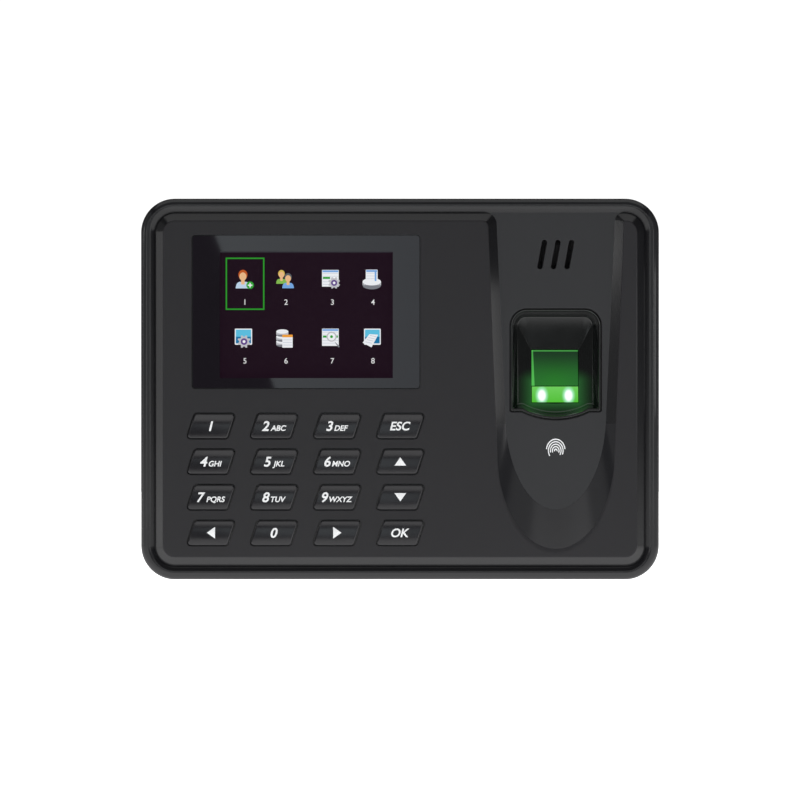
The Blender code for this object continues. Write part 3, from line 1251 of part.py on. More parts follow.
    low = SENSOR_BOARD_BACK - CLEARANCE - RIBBON_THICK / 2
    plug = CHIP_SEAT - CONNECTOR_THICK / 2
    end = BOARD_X[1] - 4.0 * MM
    way = [
        (CHANNEL_X - 4.0 * MM, low),
        (CHANNEL_X - CHASSIS_HALF_WIDTH - 4.0 * MM, low),
        (BOARD_X[1] + 7.0 * MM, low + 4.4 * MM),
        (BOARD_X[1] + 5.0 * MM, plug - 3.0 * MM),
        (BOARD_X[1] + 1.0 * MM, plug),
        (end + CLEARANCE, plug),
    ]
    bm = bmesh.new()
    z = (middle - SENSOR_CABLE_WIDTH / 2, middle + SENSOR_CABLE_WIDTH / 2)
    add_strip(bm, smooth_path(way), RIBBON_THICK, *z, lambda u, v, w: at(u, v, w))
    make("sensor_ribbon", bm, "ribbon")
    shell = (z[0] - CONNECTOR_CHEEK, z[1] + CONNECTOR_CHEEK)
    bm = bmesh.new()
    add_box(bm, (end - CONNECTOR_LENGTH, end), (CHIP_SEAT - CONNECTOR_THICK, CHIP_SEAT), shell)
    make("sensor_connector", bm, "white")


# ---------------------------------------------------------------- speaker


def speaker_rings(profile):
    """Rings of a round piece on the speaker's axis, from (radius, depth) pairs."""
    return [ring_at(circle(CHANNEL_X, SPEAKER_HEIGHT, radius), depth) for radius, depth in profile]


def build_speaker():
    front = FLOOR_INSIDE - CLEARANCE
    back = front - SPEAKER_GASKET
    rim = SPEAKER_RADIUS - 2.6 * MM
    outer = circle(CHANNEL_X, SPEAKER_HEIGHT, SPEAKER_RADIUS)
    inner = circle(CHANNEL_X, SPEAKER_HEIGHT, rim)
    bm = bmesh.new()
    add_collar(bm, outer, inner, back, front)
    make("speaker_gasket", bm, "paper")

    front = back - CLEARANCE
    back = front - SPEAKER_FRAME
    neck = SPEAKER_MAGNET_RADIUS + 1.0 * MM
    bm = bmesh.new()
    outside = [
        (neck, back),
        (neck, back + SPEAKER_WALL),
        (SPEAKER_RADIUS - 1.0 * MM, front - 1.6 * MM),
        (SPEAKER_RADIUS, front - SPEAKER_WALL),
        (SPEAKER_RADIUS, front),
    ]
    inside = [
        (SPEAKER_RADIUS - 1.4 * MM, front),
        (SPEAKER_RADIUS - 1.8 * MM, front - 1.2 * MM),
        (neck - SPEAKER_WALL, back + 1.6 * SPEAKER_WALL),
    ]
    add_loft(bm, speaker_rings(outside + inside))
    make("speaker_frame", bm, "tin")

    lip = SPEAKER_RADIUS - 2.0 * MM
    cap = neck - 4.0 * MM
    coil = neck - 2.0 * MM
    bm = bmesh.new()
    cone = [
        (cap, front - 1.2 * MM),
        (coil, front - 1.9 * MM),
        (lip - 2.0 * MM, front - 0.6 * MM),
        (lip - 1.0 * MM, front - 0.2 * MM),
        (lip, front - 0.6 * MM),
        (lip - 0.2 * MM, front - 1.0 * MM),
        (lip - 0.9 * MM, front - 0.6 * MM),
        (lip - 1.8 * MM, front - 1.0 * MM),
        (coil, front - 2.3 * MM),
        (cap, front - 1.5 * MM),
    ]
    add_loft(bm, speaker_rings(cone))
    make("speaker_cone", bm, "paper")

    top = back - CLEARANCE
    bm = bmesh.new()
    add_loft(bm, speaker_rings([(SPEAKER_MAGNET_RADIUS, top - SPEAKER_MAGNET), (SPEAKER_MAGNET_RADIUS, top)]))
    make("speaker_magnet", bm, "tin")

    start = at(CHANNEL_X - SPEAKER_MAGNET_RADIUS - 1.2 * MM, back - 0.9 * MM, SPEAKER_HEIGHT - 3.0 * MM)
    end = at(BOARD_X[1] - 6.0 * MM, CHIP_SEAT - 0.7 * MM, SPEAKER_HEIGHT - 17.0 * MM)
    curve = bpy.data.curves.new("speaker_wire", "CURVE")
    curve.dimensions = "3D"
    curve.bevel_depth = 0.6 * MM
    curve.bevel_resolution = 2
    curve.use_fill_caps = True
    points = []
    steps = 16
    for k in range(steps + 1):
        t = k / steps
        ease = t * t * (3 - 2 * t)
        place = start.lerp(end, t)
        place.z = start.z + (end.z - start.z) * ease
        place.y += 5.5 * MM * math.sin(math.pi * t) ** 2
        points.append(place)
    spline = curve.splines.new("POLY")
    spline.points.add(len(points) - 1)
    for target, place in zip(spline.points, points):
        target.co = (*place, 1)
    wire = bpy.data.objects.new("speaker_wire", curve)
    curve.materials.append(finish_for("speaker_wire", "rubber"))
    bpy.context.scene.collection.objects.link(wire)


# ---------------------------------------------------------------- the whole terminal


def main():
    for old in list(bpy.data.objects):
        bpy.data.objects.remove(old)
    build_front_cover()
    build_rear_cover()
    build_wall_plate()
    build_fasteners()
    build_display()
    build_keypad()
    build_main_board()
    build_sensor()
    build_speaker()


main()
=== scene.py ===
# %% [markdown]
# # Dressing a wall-hung fingerprint terminal
# The real terminal is a black moulded case with a smoked display window, sixteen gloss keys and, in a long
# scooped channel, a finger sensor that glows green. The CAD frame already holds every piece at its real
# size. This lesson gives the pieces their looks: fine edges, gloss, print and light. The large sizes are
# measured from the frame, and the small ones are named where they are first used.

# %% Load the frame
import json
import math

import bmesh
import bpy
from mathutils import Matrix, Vector


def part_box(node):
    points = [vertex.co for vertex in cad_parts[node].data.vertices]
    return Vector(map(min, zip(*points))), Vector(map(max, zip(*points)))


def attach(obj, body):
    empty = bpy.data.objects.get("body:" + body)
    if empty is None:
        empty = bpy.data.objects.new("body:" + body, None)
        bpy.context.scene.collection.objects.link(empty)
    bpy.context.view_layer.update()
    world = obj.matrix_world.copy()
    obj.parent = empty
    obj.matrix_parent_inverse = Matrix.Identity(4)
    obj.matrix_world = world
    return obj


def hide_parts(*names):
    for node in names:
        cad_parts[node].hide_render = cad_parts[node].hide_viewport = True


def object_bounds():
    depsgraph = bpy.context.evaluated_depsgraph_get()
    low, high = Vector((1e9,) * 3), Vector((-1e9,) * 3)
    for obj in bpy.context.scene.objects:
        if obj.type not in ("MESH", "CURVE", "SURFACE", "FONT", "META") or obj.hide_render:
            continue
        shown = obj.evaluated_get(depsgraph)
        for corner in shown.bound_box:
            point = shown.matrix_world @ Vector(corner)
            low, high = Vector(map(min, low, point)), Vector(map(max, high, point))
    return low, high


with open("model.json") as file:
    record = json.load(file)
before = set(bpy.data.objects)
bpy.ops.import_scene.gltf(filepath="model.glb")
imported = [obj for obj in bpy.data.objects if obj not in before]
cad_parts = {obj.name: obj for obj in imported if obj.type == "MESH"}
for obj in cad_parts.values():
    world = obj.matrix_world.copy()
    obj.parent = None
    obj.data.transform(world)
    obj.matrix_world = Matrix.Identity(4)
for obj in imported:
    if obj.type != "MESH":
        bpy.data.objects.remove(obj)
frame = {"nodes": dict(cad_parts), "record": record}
cad_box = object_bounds()

# %% [markdown]
# ## Where things are
# The wall is the plane y = 0 and the front faces -Y, so a "depth" is a distance out from the wall. Three CAD
# boxes give the case, the window and the finger sensor. Sizes too small to read from a box, such as the
# width of a rim, are named here once.

# %% Measure the case
MM = 0.001
GAP = 0.3 * MM


def at(x, depth, z):
    return Vector((x, -depth, z))


def middle(node):
    low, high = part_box(node)
    return (low + high) / 2


def size(node):
    low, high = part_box(node)
    return high - low


case_low, case_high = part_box("front_cover")
HALF_WIDTH, HALF_HEIGHT = case_high.x, case_high.z
FRONT = -case_low.y
SEAM = FRONT - 8.5 * MM
VALLEY = FRONT - 2.5 * MM
CORNER = 11.8 * MM
WALL = 2.4 * MM
CHANNEL_X = middle("sensor_prism").x
print(f"case {2e3 * HALF_WIDTH:.1f} x {2e3 * HALF_HEIGHT:.1f} mm, front {1e3 * FRONT:.1f} mm from the wall")

# %% [markdown]
# ## Outlines and lofts
# Moulded plastic is mostly an outline carried through space: a rim is the case's outline drawn inwards while
# it rises and falls, and a key is a slanted outline pushed forwards. One way is to model each by hand in
# edit mode. Here an outline is a short list of corners with radii, and a loft extrudes its loop of edges
# from one place to the next, so one small helper makes every moulded piece.

# %% Outline helpers
def rounded(corners, steps=8):
    """The outline through (x, z, radius) corners, each corner bevelled to an arc of `steps` pieces."""
    bm = bmesh.new()
    verts = [bm.verts.new((x, 0, z)) for x, z, radius in corners]
    sides = [bm.edges.new((verts[i - 1], verts[i])) for i in range(len(verts))]
    bmesh.ops.contextual_create(bm, geom=sides)
    spots = [vert.co.copy() for vert in verts]
    for i, (vert, (x, z, radius)) in enumerate(zip(verts, corners)):
        if not radius:
            continue
        opening = (spots[i - 1] - spots[i]).angle(spots[(i + 1) % len(spots)] - spots[i])
        bmesh.ops.bevel(
            bm, geom=[vert], offset=radius / math.tan(opening / 2), segments=steps, profile=0.5,
            affect="VERTICES", material=-1,
        )
    bm.faces.ensure_lookup_table()
    outline = [loop.vert.co.xz for loop in bm.faces[0].loops]
    bm.free()
    first, second = spots[0].xz, spots[1].xz
    start = min(outline, key=lambda p: (p - first).length + 0.01 * (p - second).length)
    begin = outline.index(start)
    return outline[begin:] + outline[:begin]


def rounded_box(x0, x1, z0, z1, radius, steps=8):
    return rounded([(x0, z0, radius), (x1, z0, radius), (x1, z1, radius), (x0, z1, radius)], steps)


def case_outline(inset, steps=20):
    x, z = HALF_WIDTH - inset, HALF_HEIGHT - inset
    return rounded_box(-x, x, -z, z, CORNER - inset, steps)


def circle(x, z, radius, steps=48):
    turns = [2 * math.pi * k / steps for k in range(steps)]
    return [Vector((x + radius * math.cos(t), z + radius * math.sin(t))) for t in turns]


def flat(outline, depth):
    """The outline as a ring in space, at one depth or at depth(z)."""
    return [at(x, depth(z) if callable(depth) else depth, z) for x, z in outline]


def blend(a, b, share):
    return [p.lerp(q, share) for p, q in zip(a, b)]


print("outline helpers ready:", len(case_outline(0)), "points round the case")

# %% Loft helper
def loft(bm, rings, join=False):
    """Extrudes a loop of edges through the rings, then caps both ends, or joins the last to the first."""
    verts = [bm.verts.new(point) for point in rings[0]]
    first = [bm.edges.new((verts[i - 1], verts[i])) for i in range(len(verts))]
    edges = first
    for ring in rings[1:]:
        made = bmesh.ops.extrude_edge_only(bm, edges=edges)["geom"]
        fresh = {v for v in made if isinstance(v, bmesh.types.BMVert)}
        verts = [next(e.other_vert(v) for e in v.link_edges if e.other_vert(v) in fresh) for v in verts]
        for vert, point in zip(verts, ring):
            vert.co = point
        edges = [bm.edges.get((verts[i - 1], verts[i])) for i in range(len(verts))]
    if join:
        bmesh.ops.bridge_loops(bm, edges=first + edges)
        return
    bmesh.ops.contextual_create(bm, geom=first)
    bmesh.ops.contextual_create(bm, geom=edges)


def block(bm, outline, near, far):
    loft(bm, [flat(outline, near), flat(outline, far)])


def box_block(bm, x, depth, z):
    block(bm, [Vector(p) for p in ((x[0], z[0]), (x[1], z[0]), (x[1], z[1]), (x[0], z[1]))], *depth)


def rod(bm, start, end, radius, steps=32):
    along = end - start
    turn = along.to_track_quat("Z", "Y").to_matrix().to_4x4()
    spot = Matrix.Translation((start + end) / 2) @ turn
    bmesh.ops.create_cone(
        bm, cap_ends=True, segments=steps, radius1=radius, radius2=radius, depth=along.length, matrix=spot
    )


print("loft, block and rod ready")


# %% Solids, cuts and shading
def solid(name, bm):
    """A mesh object from a bmesh, its faces pointing outwards."""
    bmesh.ops.remove_doubles(bm, verts=bm.verts, dist=1e-7)
    bmesh.ops.recalc_face_normals(bm, faces=bm.faces)
    mesh = bpy.data.meshes.new(name)
    bm.to_mesh(mesh)
    bm.free()
    piece = bpy.data.objects.new(name, mesh)
    bpy.context.scene.collection.objects.link(piece)
    return piece


def combine(piece, operation, name, bm):
    """Joins to a piece, or cuts out of it, the shape in a bmesh."""
    other = solid(name, bm)
    modifier = piece.modifiers.new(name, "BOOLEAN")
    modifier.operation = operation
    modifier.solver = "EXACT"
    modifier.object = other
    bpy.context.view_layer.update()
    result = bpy.data.meshes.new_from_object(piece.evaluated_get(bpy.context.evaluated_depsgraph_get()))
    piece.modifiers.clear()
    piece.data = result
    bpy.data.objects.remove(other)


def finish_surface(piece, angle=28, crease_depth=None):
    """Smooth shading that keeps flats flat and edges crisp, with a crease in the plane at one depth."""
    mesh = piece.data
    mesh.shade_smooth()
    mesh.set_sharp_from_angle(angle=math.radians(angle))
    if crease_depth:
        for edge in mesh.edges:
            ends = [mesh.vertices[i].co for i in edge.vertices]
            if all(abs(-end.y - crease_depth) < 1e-6 for end in ends):
                edge.use_edge_sharp = True
    weighted = piece.modifiers.new("flat_faces", "WEIGHTED_NORMAL")
    weighted.keep_sharp = True
    weighted.weight = 90


print("solids, cuts and shading ready")

# %% [markdown]
# ## Writing shaders as sums
# A finish is a node tree, and a tree of Math nodes is hard to read. The first class wraps a socket so that
# arithmetic on it adds the Math nodes: `1 - mask` is one line here and one Subtract node in the editor.
# Nearly every other kind of node comes from the `node` method of the second class, which is a material.

# %% Values that vary over a surface
class Value:
    """A number or colour that varies over a surface, as the output socket that carries it."""

    def __init__(self, tree, socket):
        self.tree = tree
        self.socket = socket

    def maths(self, operation, a, b=0.0):
        return self.tree.node("ShaderNodeMath", {"operation": operation}, {0: a, 1: b})

    def __add__(self, other):
        return self.maths("ADD", self, other)

    def __sub__(self, other):
        return self.maths("SUBTRACT", self, other)

    def __rsub__(self, other):
        return self.maths("SUBTRACT", other, self)

    def __mul__(self, other):
        return self.maths("MULTIPLY", self, other)

    def __truediv__(self, other):
        return self.maths("DIVIDE", self, other)

    def __gt__(self, other):
        return self.maths("GREATER_THAN", self, other)

    def __lt__(self, other):
        return self.maths("LESS_THAN", self, other)

    def __pow__(self, other):
        return self.maths("POWER", self, other)

    def __abs__(self):
        return self.maths("ABSOLUTE", self)

    __radd__ = __add__
    __rmul__ = __mul__


print("sums of sockets ready")


# %% Materials
class Finish:
    """A node material built round one Principled BSDF."""

    def __init__(self, name, colour=(0.5, 0.5, 0.5), **constants):
        self.material = bpy.data.materials.new(name)
        self.material.use_nodes = True
        self.nodes = self.material.node_tree.nodes
        self.links = self.material.node_tree.links
        self.shader = self.nodes["Principled BSDF"]
        self.shader.inputs["Base Color"].default_value = (*colour, 1)
        self.set(**constants)
        self.place = self.node("ShaderNodeTexCoord", output="Object")

    def node(self, kind, settings=None, inputs=None, output=0):
        """Adds a node, sets it, then gives its sockets values or links. Returns one of its outputs."""
        node = self.nodes.new(kind)
        for key, value in (settings or {}).items():
            setattr(node, key, value)
        for key, value in (inputs or {}).items():
            self.feed(node.inputs[key], value)
        return Value(self, node.outputs[output])

    def feed(self, socket, value):
        if isinstance(value, Value):
            self.links.new(value.socket, socket)
        else:
            socket.default_value = value

    def set(self, **inputs):
        for key, value in inputs.items():
            self.feed(self.shader.inputs[key.replace("_", " ").title().replace("Ior", "IOR")], value)

    def axes(self):
        parts = self.nodes.new("ShaderNodeSeparateXYZ")
        self.links.new(self.place.socket, parts.inputs[0])
        return [Value(self, out) for out in parts.outputs]

    def noise(self, scale, detail=2.0, roughness=0.5, stretch=None):
        where = self.place
        if stretch:
            where = self.node("ShaderNodeMapping", None, {"Vector": self.place, "Scale": stretch}, "Vector")
        inputs = {"Vector": where, "Scale": scale, "Detail": detail, "Roughness": roughness}
        return self.node("ShaderNodeTexNoise", None, inputs)

    def mix(self, share, a, b):
        settings = {"data_type": "RGBA"}
        return self.node("ShaderNodeMix", settings, {0: share, 6: rgba(a), 7: rgba(b)}, 2)

    def rise(self, value, low=0.0, high=1.0, smooth=False):
        """0 where the value is at `low` or before it, 1 at `high` or past it, and a ramp between."""
        settings = {"interpolation_type": "SMOOTHSTEP" if smooth else "LINEAR"}
        return self.node("ShaderNodeMapRange", settings, {0: value, 1: low, 2: high})

    def bump(self, height, depth, strength=1.0):
        inputs = {"Height": height, "Distance": depth, "Strength": strength}
        self.set(normal=self.node("ShaderNodeBump", None, inputs, "Normal"))

    def onto(self, *pieces):
        for piece in pieces:
            piece.data.materials.clear()
            piece.data.materials.append(self.material)


print("materials ready")


# %% Colours
def rgba(colour):
    return colour if isinstance(colour, Value) or len(colour) == 4 else (*colour, 1)


def srgb(r, g, b):
    """A screen colour, 0 to 255, as linear light."""
    return tuple(((c / 255 + 0.055) / 1.055) ** 2.4 if c > 10 else c / 255 / 12.92 for c in (r, g, b))


print("screen white as linear light:", srgb(255, 255, 255))

# %% [markdown]
# ## A plain studio
# The terminal stands on a white floor in front of nothing. The floor glows by itself, and brighter in a
# painted pool of light under and just in front of the case. Gloss black plastic has almost no colour of its
# own, so what it reflects is most of what is seen, and each light is there for a surface that mirrors it.
# Large boxes overhead, in front and behind give the even light. Small ones at the left and right are what
# the rim and the slopes of the face and the channel turn to. A board beside the camera, with one slanting
# edge, is the sheen across the window. The boxes are area lights, which light the object without being seen.

# %% Camera and floor
camera_data = bpy.data.cameras.new("camera")
camera_data.lens = 207.6
camera_data.sensor_width = 36
camera = bpy.data.objects.new("camera", camera_data)
camera.location = at(0, FRONT + 1.6, -3.8 * MM)
camera.rotation_euler = (math.radians(90), 0, 0)
bpy.context.scene.collection.objects.link(camera)
bpy.context.scene.camera = camera
bpy.context.scene.view_settings.view_transform = "Standard"

bm = bmesh.new()
floor_spot = Matrix.Translation((0, 0, cad_box[0][2]))
bmesh.ops.create_grid(bm, x_segments=1, y_segments=1, size=1.5, matrix=floor_spot)
floor = solid("floor", bm)
white = Finish("floor_white", roughness=0.6, emission_strength=1.0)
# Painted light: the floor glows brighter in a pool under and just in front of the case, which the case's
# lower edge mirrors.
painted_light_pool = white.rise(white.axes()[1], -FRONT - 18 * MM, -FRONT - 4 * MM)
white.set(base_color=white.mix(white.noise(3), (0.90, 0.90, 0.90), (0.94, 0.94, 0.94)))
white.set(emission_color=white.mix(painted_light_pool, (1.06, 1.06, 1.06), (1.6, 1.6, 1.6)))
white.onto(floor)
print("camera", round(-camera.location.y, 2), "m in front of the wall, on a white floor")


# %% Soft boxes
def soft_box(name, place, aim, width, height, radiance):
    light = bpy.data.lights.new(name, "AREA")
    light.shape = "RECTANGLE"
    light.size = width
    light.size_y = height
    light.energy = radiance * width * height * math.pi
    lamp = bpy.data.objects.new(name, light)
    lamp.location = place
    lamp.rotation_euler = (Vector(aim) - Vector(place)).to_track_quat("-Z", "Y").to_euler()
    lamp.visible_camera = False
    bpy.context.scene.collection.objects.link(lamp)


soft_box("left_box", (-1.5, -0.35, 0.35), (0, 0, 0), 1.2, 1.4, 0.18)
soft_box("top_box", (0, -0.3, 1.6), (0, 0, 0), 2.4, 1.6, 0.77)
soft_box("front_box", (0, -1.75, 0.40), (0, 0, 0.1), 1.15, 0.26, 1.35)
for side, name in ((-1, "left"), (1, "right")):
    soft_box(f"{name}_panel", (side * 0.75, -1.7, 0), (0, 0, 0), 0.28, 0.36, 2.0)
    soft_box(f"{name}_wing", (side * 0.88, -1.65, 0.40), (0, 0, 0.1), 0.6, 0.30, 0.45)
soft_box("back_box", (0.3, 1.8, 0.7), (0, 0, 0), 1.6, 1.2, 0.8)
soft_box("left_strip", (-0.30, -0.075, 0), (0, -0.075, 0), 0.03, 0.15, 1.2)
soft_box("left_spot", (-0.30, -0.148, 0.079), (0, -0.148, 0.079), 0.036, 0.028, 6.0)
soft_box("right_strip", (0.14, -0.086, 0.018), (0, -0.086, 0.018), 0.045, 0.052, 1.9)
print(len(bpy.data.lights), "soft boxes placed")

# %% Sheen board and air
bm = bmesh.new()
board_corners = [(-0.172, 0.205), (-0.0875, -0.012), (0.04, -0.012), (0.04, 0.205)]
bmesh.ops.contextual_create(bm, geom=[bm.verts.new((x, -1.9, z)) for x, z in board_corners])
sheen = solid("sheen_board", bm)
sheen_glow = Finish("sheen_glow", (0, 0, 0), emission_strength=1.0)
across = (sheen_glow.axes()[0] + 0.16) / 0.2
sheen_glow.set(emission_color=sheen_glow.mix(across, (1.28, 1.42, 1.46), (0.86, 0.95, 0.99)))
sheen_glow.onto(sheen)
sheen.visible_camera = False

world = bpy.data.worlds.new("studio_air")
world.use_nodes = True
bpy.context.scene.world = world
backdrop = world.node_tree.nodes["Background"]
seen = world.node_tree.nodes.new("ShaderNodeLightPath")
level = world.node_tree.nodes.new("ShaderNodeMapRange")
level.inputs["To Min"].default_value = 0.11
level.inputs["To Max"].default_value = 1.1
world.node_tree.links.new(seen.outputs["Is Camera Ray"], level.inputs["Value"])
world.node_tree.links.new(level.outputs[0], backdrop.inputs["Strength"])
backdrop.inputs["Color"].default_value = (1, 1, 1, 1)
print("sheen board", round(board_corners[2][0] - board_corners[1][0], 2), "m wide at its foot")

# %% [markdown]
# ## The raised face and its channel
# The front is a raised face with a sloping edge, notched from the top by a channel that ends in half an
# ellipse. The face's edge and its foot are the same kind of line at two sizes, so one function draws both.
# The half ellipse is a vertex spun through half a turn and then stretched, between two straight runs.

# %% Outline of the raised face
def face_outline(inset, radius, top_half, low_half, spring, bowl, right_corner, left_corner):
    """A rounded rectangle less the channel, which ends below the height `spring` in half an ellipse."""
    x, z = HALF_WIDTH - inset, HALF_HEIGHT - inset
    bm = bmesh.new()
    end = bm.verts.new((CHANNEL_X + low_half, 0, spring))
    hub = (CHANNEL_X, 0, spring)
    bmesh.ops.spin(bm, geom=[end], cent=hub, axis=(0, 1, 0), angle=math.pi, steps=48)
    about = Matrix.Translation((0, 0, -spring))
    bmesh.ops.scale(bm, vec=(1, 1, bowl / low_half), space=about, verts=bm.verts)
    ellipse = sorted((vert.co.xz for vert in bm.verts), key=lambda p: -p.x)
    bm.free()
    corners = [(-x, -z, radius), (x, -z, radius), (x, z, radius), (CHANNEL_X + top_half, z, right_corner)]
    corners += [(*point, 0) for point in ellipse]
    corners += [(CHANNEL_X - top_half, z, left_corner), (-x, z, radius)]
    return rounded(corners, 12)


edge = face_outline(
    inset=7.85 * MM, radius=3.95 * MM, top_half=23.7 * MM, low_half=20.5 * MM,
    spring=-22.9 * MM, bowl=33.3 * MM, right_corner=0.3 * MM, left_corner=2 * MM,
)
foot = face_outline(
    inset=4.75 * MM, radius=7.05 * MM, top_half=20.7 * MM, low_half=17.5 * MM,
    spring=-8.0 * MM, bowl=33.6 * MM, right_corner=3 * MM, left_corner=4.2 * MM,
)
print("raised face outline has", len(edge), "points, its foot", len(foot))

# %% [markdown]
# ## Key and finger-well outlines
# A key is a slanted box with small round corners. The finger well has wide upper corners and a lower edge
# that sags in an arc under the light strip. Each outline takes `grow`, a distance to move it outwards, so
# that a key, its flange and the hole round it all come from the same function.

# %% Outlines of the openings
KEY_HEIGHT = 8.6 * MM
KEY_WIDTH = 14.1 * MM
KEY_SLANT = 2.8 * MM
LETTERS = {"key_2": "ABC", "key_3": "DEF", "key_4": "GHI", "key_5": "JKL"}
LETTERS |= {"key_6": "MNO", "key_7": "PQRS", "key_8": "TUV", "key_9": "WXYZ"}
ARROWS = {"key_up": 0, "key_down": 180, "key_left": 90, "key_right": -90}
KEYS = [f"key_{digit}" for digit in range(10)] + [*ARROWS, "key_escape", "key_enter"]


def key_outline(x, z, grow, steps=6):
    lean = KEY_SLANT / KEY_HEIGHT
    high = KEY_HEIGHT / 2 + grow
    wide = KEY_WIDTH / 2 + grow * math.hypot(1, lean)
    radius = max(1.1 * MM + grow, 0.4 * MM)
    sides = ((-1, -1), (1, -1), (1, 1), (-1, 1))
    return rounded([(x + a * wide + b * lean * high, z + b * high, radius) for a, b in sides], steps)


WELL_LOW, WELL_HIGH = -7.9 * MM, 28.0 * MM
LIP_HALF, LIP_SAG = 11.75 * MM, 2.75 * MM


def pocket_outline(half, top, bottom, top_radius, low_radius, lip_half, lip_sag):
    """A pocket about the channel's axis whose lower edge is an arc that sags in the middle."""
    radius = (lip_half**2 + lip_sag**2) / (2 * lip_sag)
    reach = math.asin(lip_half / radius)
    turns = [reach * k / 12 for k in range(-12, 13)]
    rise = bottom - lip_sag + radius
    lip = [(CHANNEL_X + radius * math.sin(t), rise - radius * math.cos(t), 0) for t in turns]
    left, right = CHANNEL_X - half, CHANNEL_X + half
    ends = [(right, bottom, low_radius), (right, top, top_radius), (left, top, top_radius)]
    return rounded([(left, bottom, low_radius), *lip, *ends], 10)


def well_outline(grow):
    radius = (LIP_HALF**2 + LIP_SAG**2) / (2 * LIP_SAG) + grow
    lip_half = math.sqrt(radius**2 - (radius - LIP_SAG) ** 2)
    low_radius = max(0.8 * MM + grow, 0.4 * MM)
    return pocket_outline(
        15.9 * MM + grow, WELL_HIGH + grow, WELL_LOW - grow, 5.8 * MM + grow, low_radius, lip_half, LIP_SAG
    )


def slot_outline(x, z, length, width, lean):
    """A round-ended slot that leans `lean` degrees to the right."""
    shape = rounded_box(-width / 2, width / 2, -length / 2, length / 2, width / 2 - 1e-6, 8)
    return [Vector((x, z)) + Matrix.Rotation(math.radians(-lean), 2) @ point for point in shape]


print("a key outline has", len(key_outline(0, 0, 0)), "points and the well", len(well_outline(0)))

# %% [markdown]
# ## The front moulding
# On the real terminal this is one moulding: a soft rim bead, a groove, the raised face and the channel. It
# could be sculpted, but every line on it is an outline at some depth, so its skin is a loft that starts
# inside, runs over the rim to the groove, and takes the raised face as a second loft. The openings are cut
# with flared cutters, which leaves each one the small soft edge that a moulded hole has.

# %% Front shell
RIM_BEAD = 2.5 * MM
RIM_ROUND = 2.1 * MM
RIM_SLOPE = 2.35 * MM
CREST = FRONT - 1.6 * MM

rim = [(WALL, FRONT - 4.9 * MM), (WALL, SEAM), (0.15 * MM, SEAM), (0, SEAM + 0.15 * MM)]
rim.append((0, CREST - RIM_ROUND))
for k in range(1, 10):
    turn = math.pi / 2 * k / 9
    rim.append((RIM_BEAD * (1 - math.cos(turn)), CREST - RIM_ROUND * (1 - math.sin(turn))))
for k in range(1, 9):
    turn = math.pi / 2 * k / 8
    rim.append((RIM_BEAD + RIM_SLOPE * k / 8, CREST - (CREST - VALLEY) * (1 - math.cos(turn))))
bm = bmesh.new()
loft(bm, [flat(case_outline(inset), depth) for inset, depth in rim])
front_shell = solid("front_shell", bm)
print("rim:", len(rim), "rings, crest", round(1e3 * (FRONT - CREST), 1), "mm behind the face")

# %% Raised face
# Each step is a share of the way from the face's edge to its foot, and a drop below the face.
SLOPE_STEPS = [(1.4, 3.5 * MM), (0.08, 0.22 * MM), (0.03, 0.1 * MM), (-0.02, 0.03 * MM), (-0.08, 0)]
bm = bmesh.new()
loft(bm, [flat(blend(edge, foot, share), FRONT - drop) for share, drop in SLOPE_STEPS])
combine(front_shell, "UNION", "raised_face", bm)

left, right, top = 10.25 * MM - HALF_WIDTH, CHANNEL_X - 26.1 * MM, HALF_HEIGHT - 10.25 * MM
bm = bmesh.new()
block(bm, rounded_box(left, right, -top, top, 2 * MM), FRONT - 7.3 * MM, FRONT - 3 * MM)
combine(front_shell, "DIFFERENCE", "face_pocket", bm)
print("front shell:", len(front_shell.data.polygons), "faces before its openings")

# %% Openings with soft edges
FLARE = [(0, -0.30), (0.05, -0.13), (0.14, -0.04), (0.3, 0.01), (0.3, 1.5)]


def flared(bm, outline_at, near, level, soft=1.0, ahead=1):
    """A cutter from depth `near` out through the surface at `level`, opening in a soft edge."""
    rings = [flat(outline_at(0), near)]
    rings += [flat(outline_at(grow * soft * MM), level + ahead * rise * soft * MM) for grow, rise in FLARE]
    loft(bm, rings)


window_x, window_z = middle("display_window").x, middle("display_window").z
window_half = size("display_window") / 2


def window_outline(grow):
    x, z = window_half.x + GAP + grow, window_half.z + GAP + grow
    return rounded_box(window_x - x, window_x + x, window_z - z, window_z + z, 1.3 * MM + grow, 8)


bm = bmesh.new()
flared(bm, window_outline, FRONT - 1.9 * MM, FRONT, 0.6)
combine(front_shell, "DIFFERENCE", "window_seat", bm)
print("window seat cut")

# %% Key, well, speaker and display openings
SLOT_LENGTH, SLOT_WIDTH, SLOT_PITCH, SLOT_LEAN = 10.2 * MM, 1.65 * MM, 4.7 * MM, 10.3
SLOT_HEIGHT = 46.8 * MM
DISPLAY_HALF_WIDTH, DISPLAY_HALF_HEIGHT = 32 * MM, 23.75 * MM
behind = FRONT - 6 * MM


def speaker_slot(x, grow):
    return slot_outline(x, SLOT_HEIGHT, SLOT_LENGTH + 2 * grow, SLOT_WIDTH + 2 * grow, SLOT_LEAN)


bm = bmesh.new()
for name in KEYS:
    spot = middle(name)
    flared(bm, lambda grow: key_outline(spot.x, spot.z, grow + GAP), behind, FRONT, 0.7)
flared(bm, well_outline, behind, VALLEY, 1.2)
for k in (-1, 0, 1):
    x = CHANNEL_X + SLOT_PITCH * k
    flared(bm, lambda grow: speaker_slot(x, grow), behind, VALLEY, 0.8)
box_block(
    bm, (window_x - DISPLAY_HALF_WIDTH, window_x + DISPLAY_HALF_WIDTH), (FRONT - 5.4 * MM, FRONT - 1 * MM),
    (window_z - DISPLAY_HALF_HEIGHT, window_z + DISPLAY_HALF_HEIGHT),
)
combine(front_shell, "DIFFERENCE", "front_openings", bm)
print(len(KEYS), "key holes, the well, three speaker slots and the display opening cut")

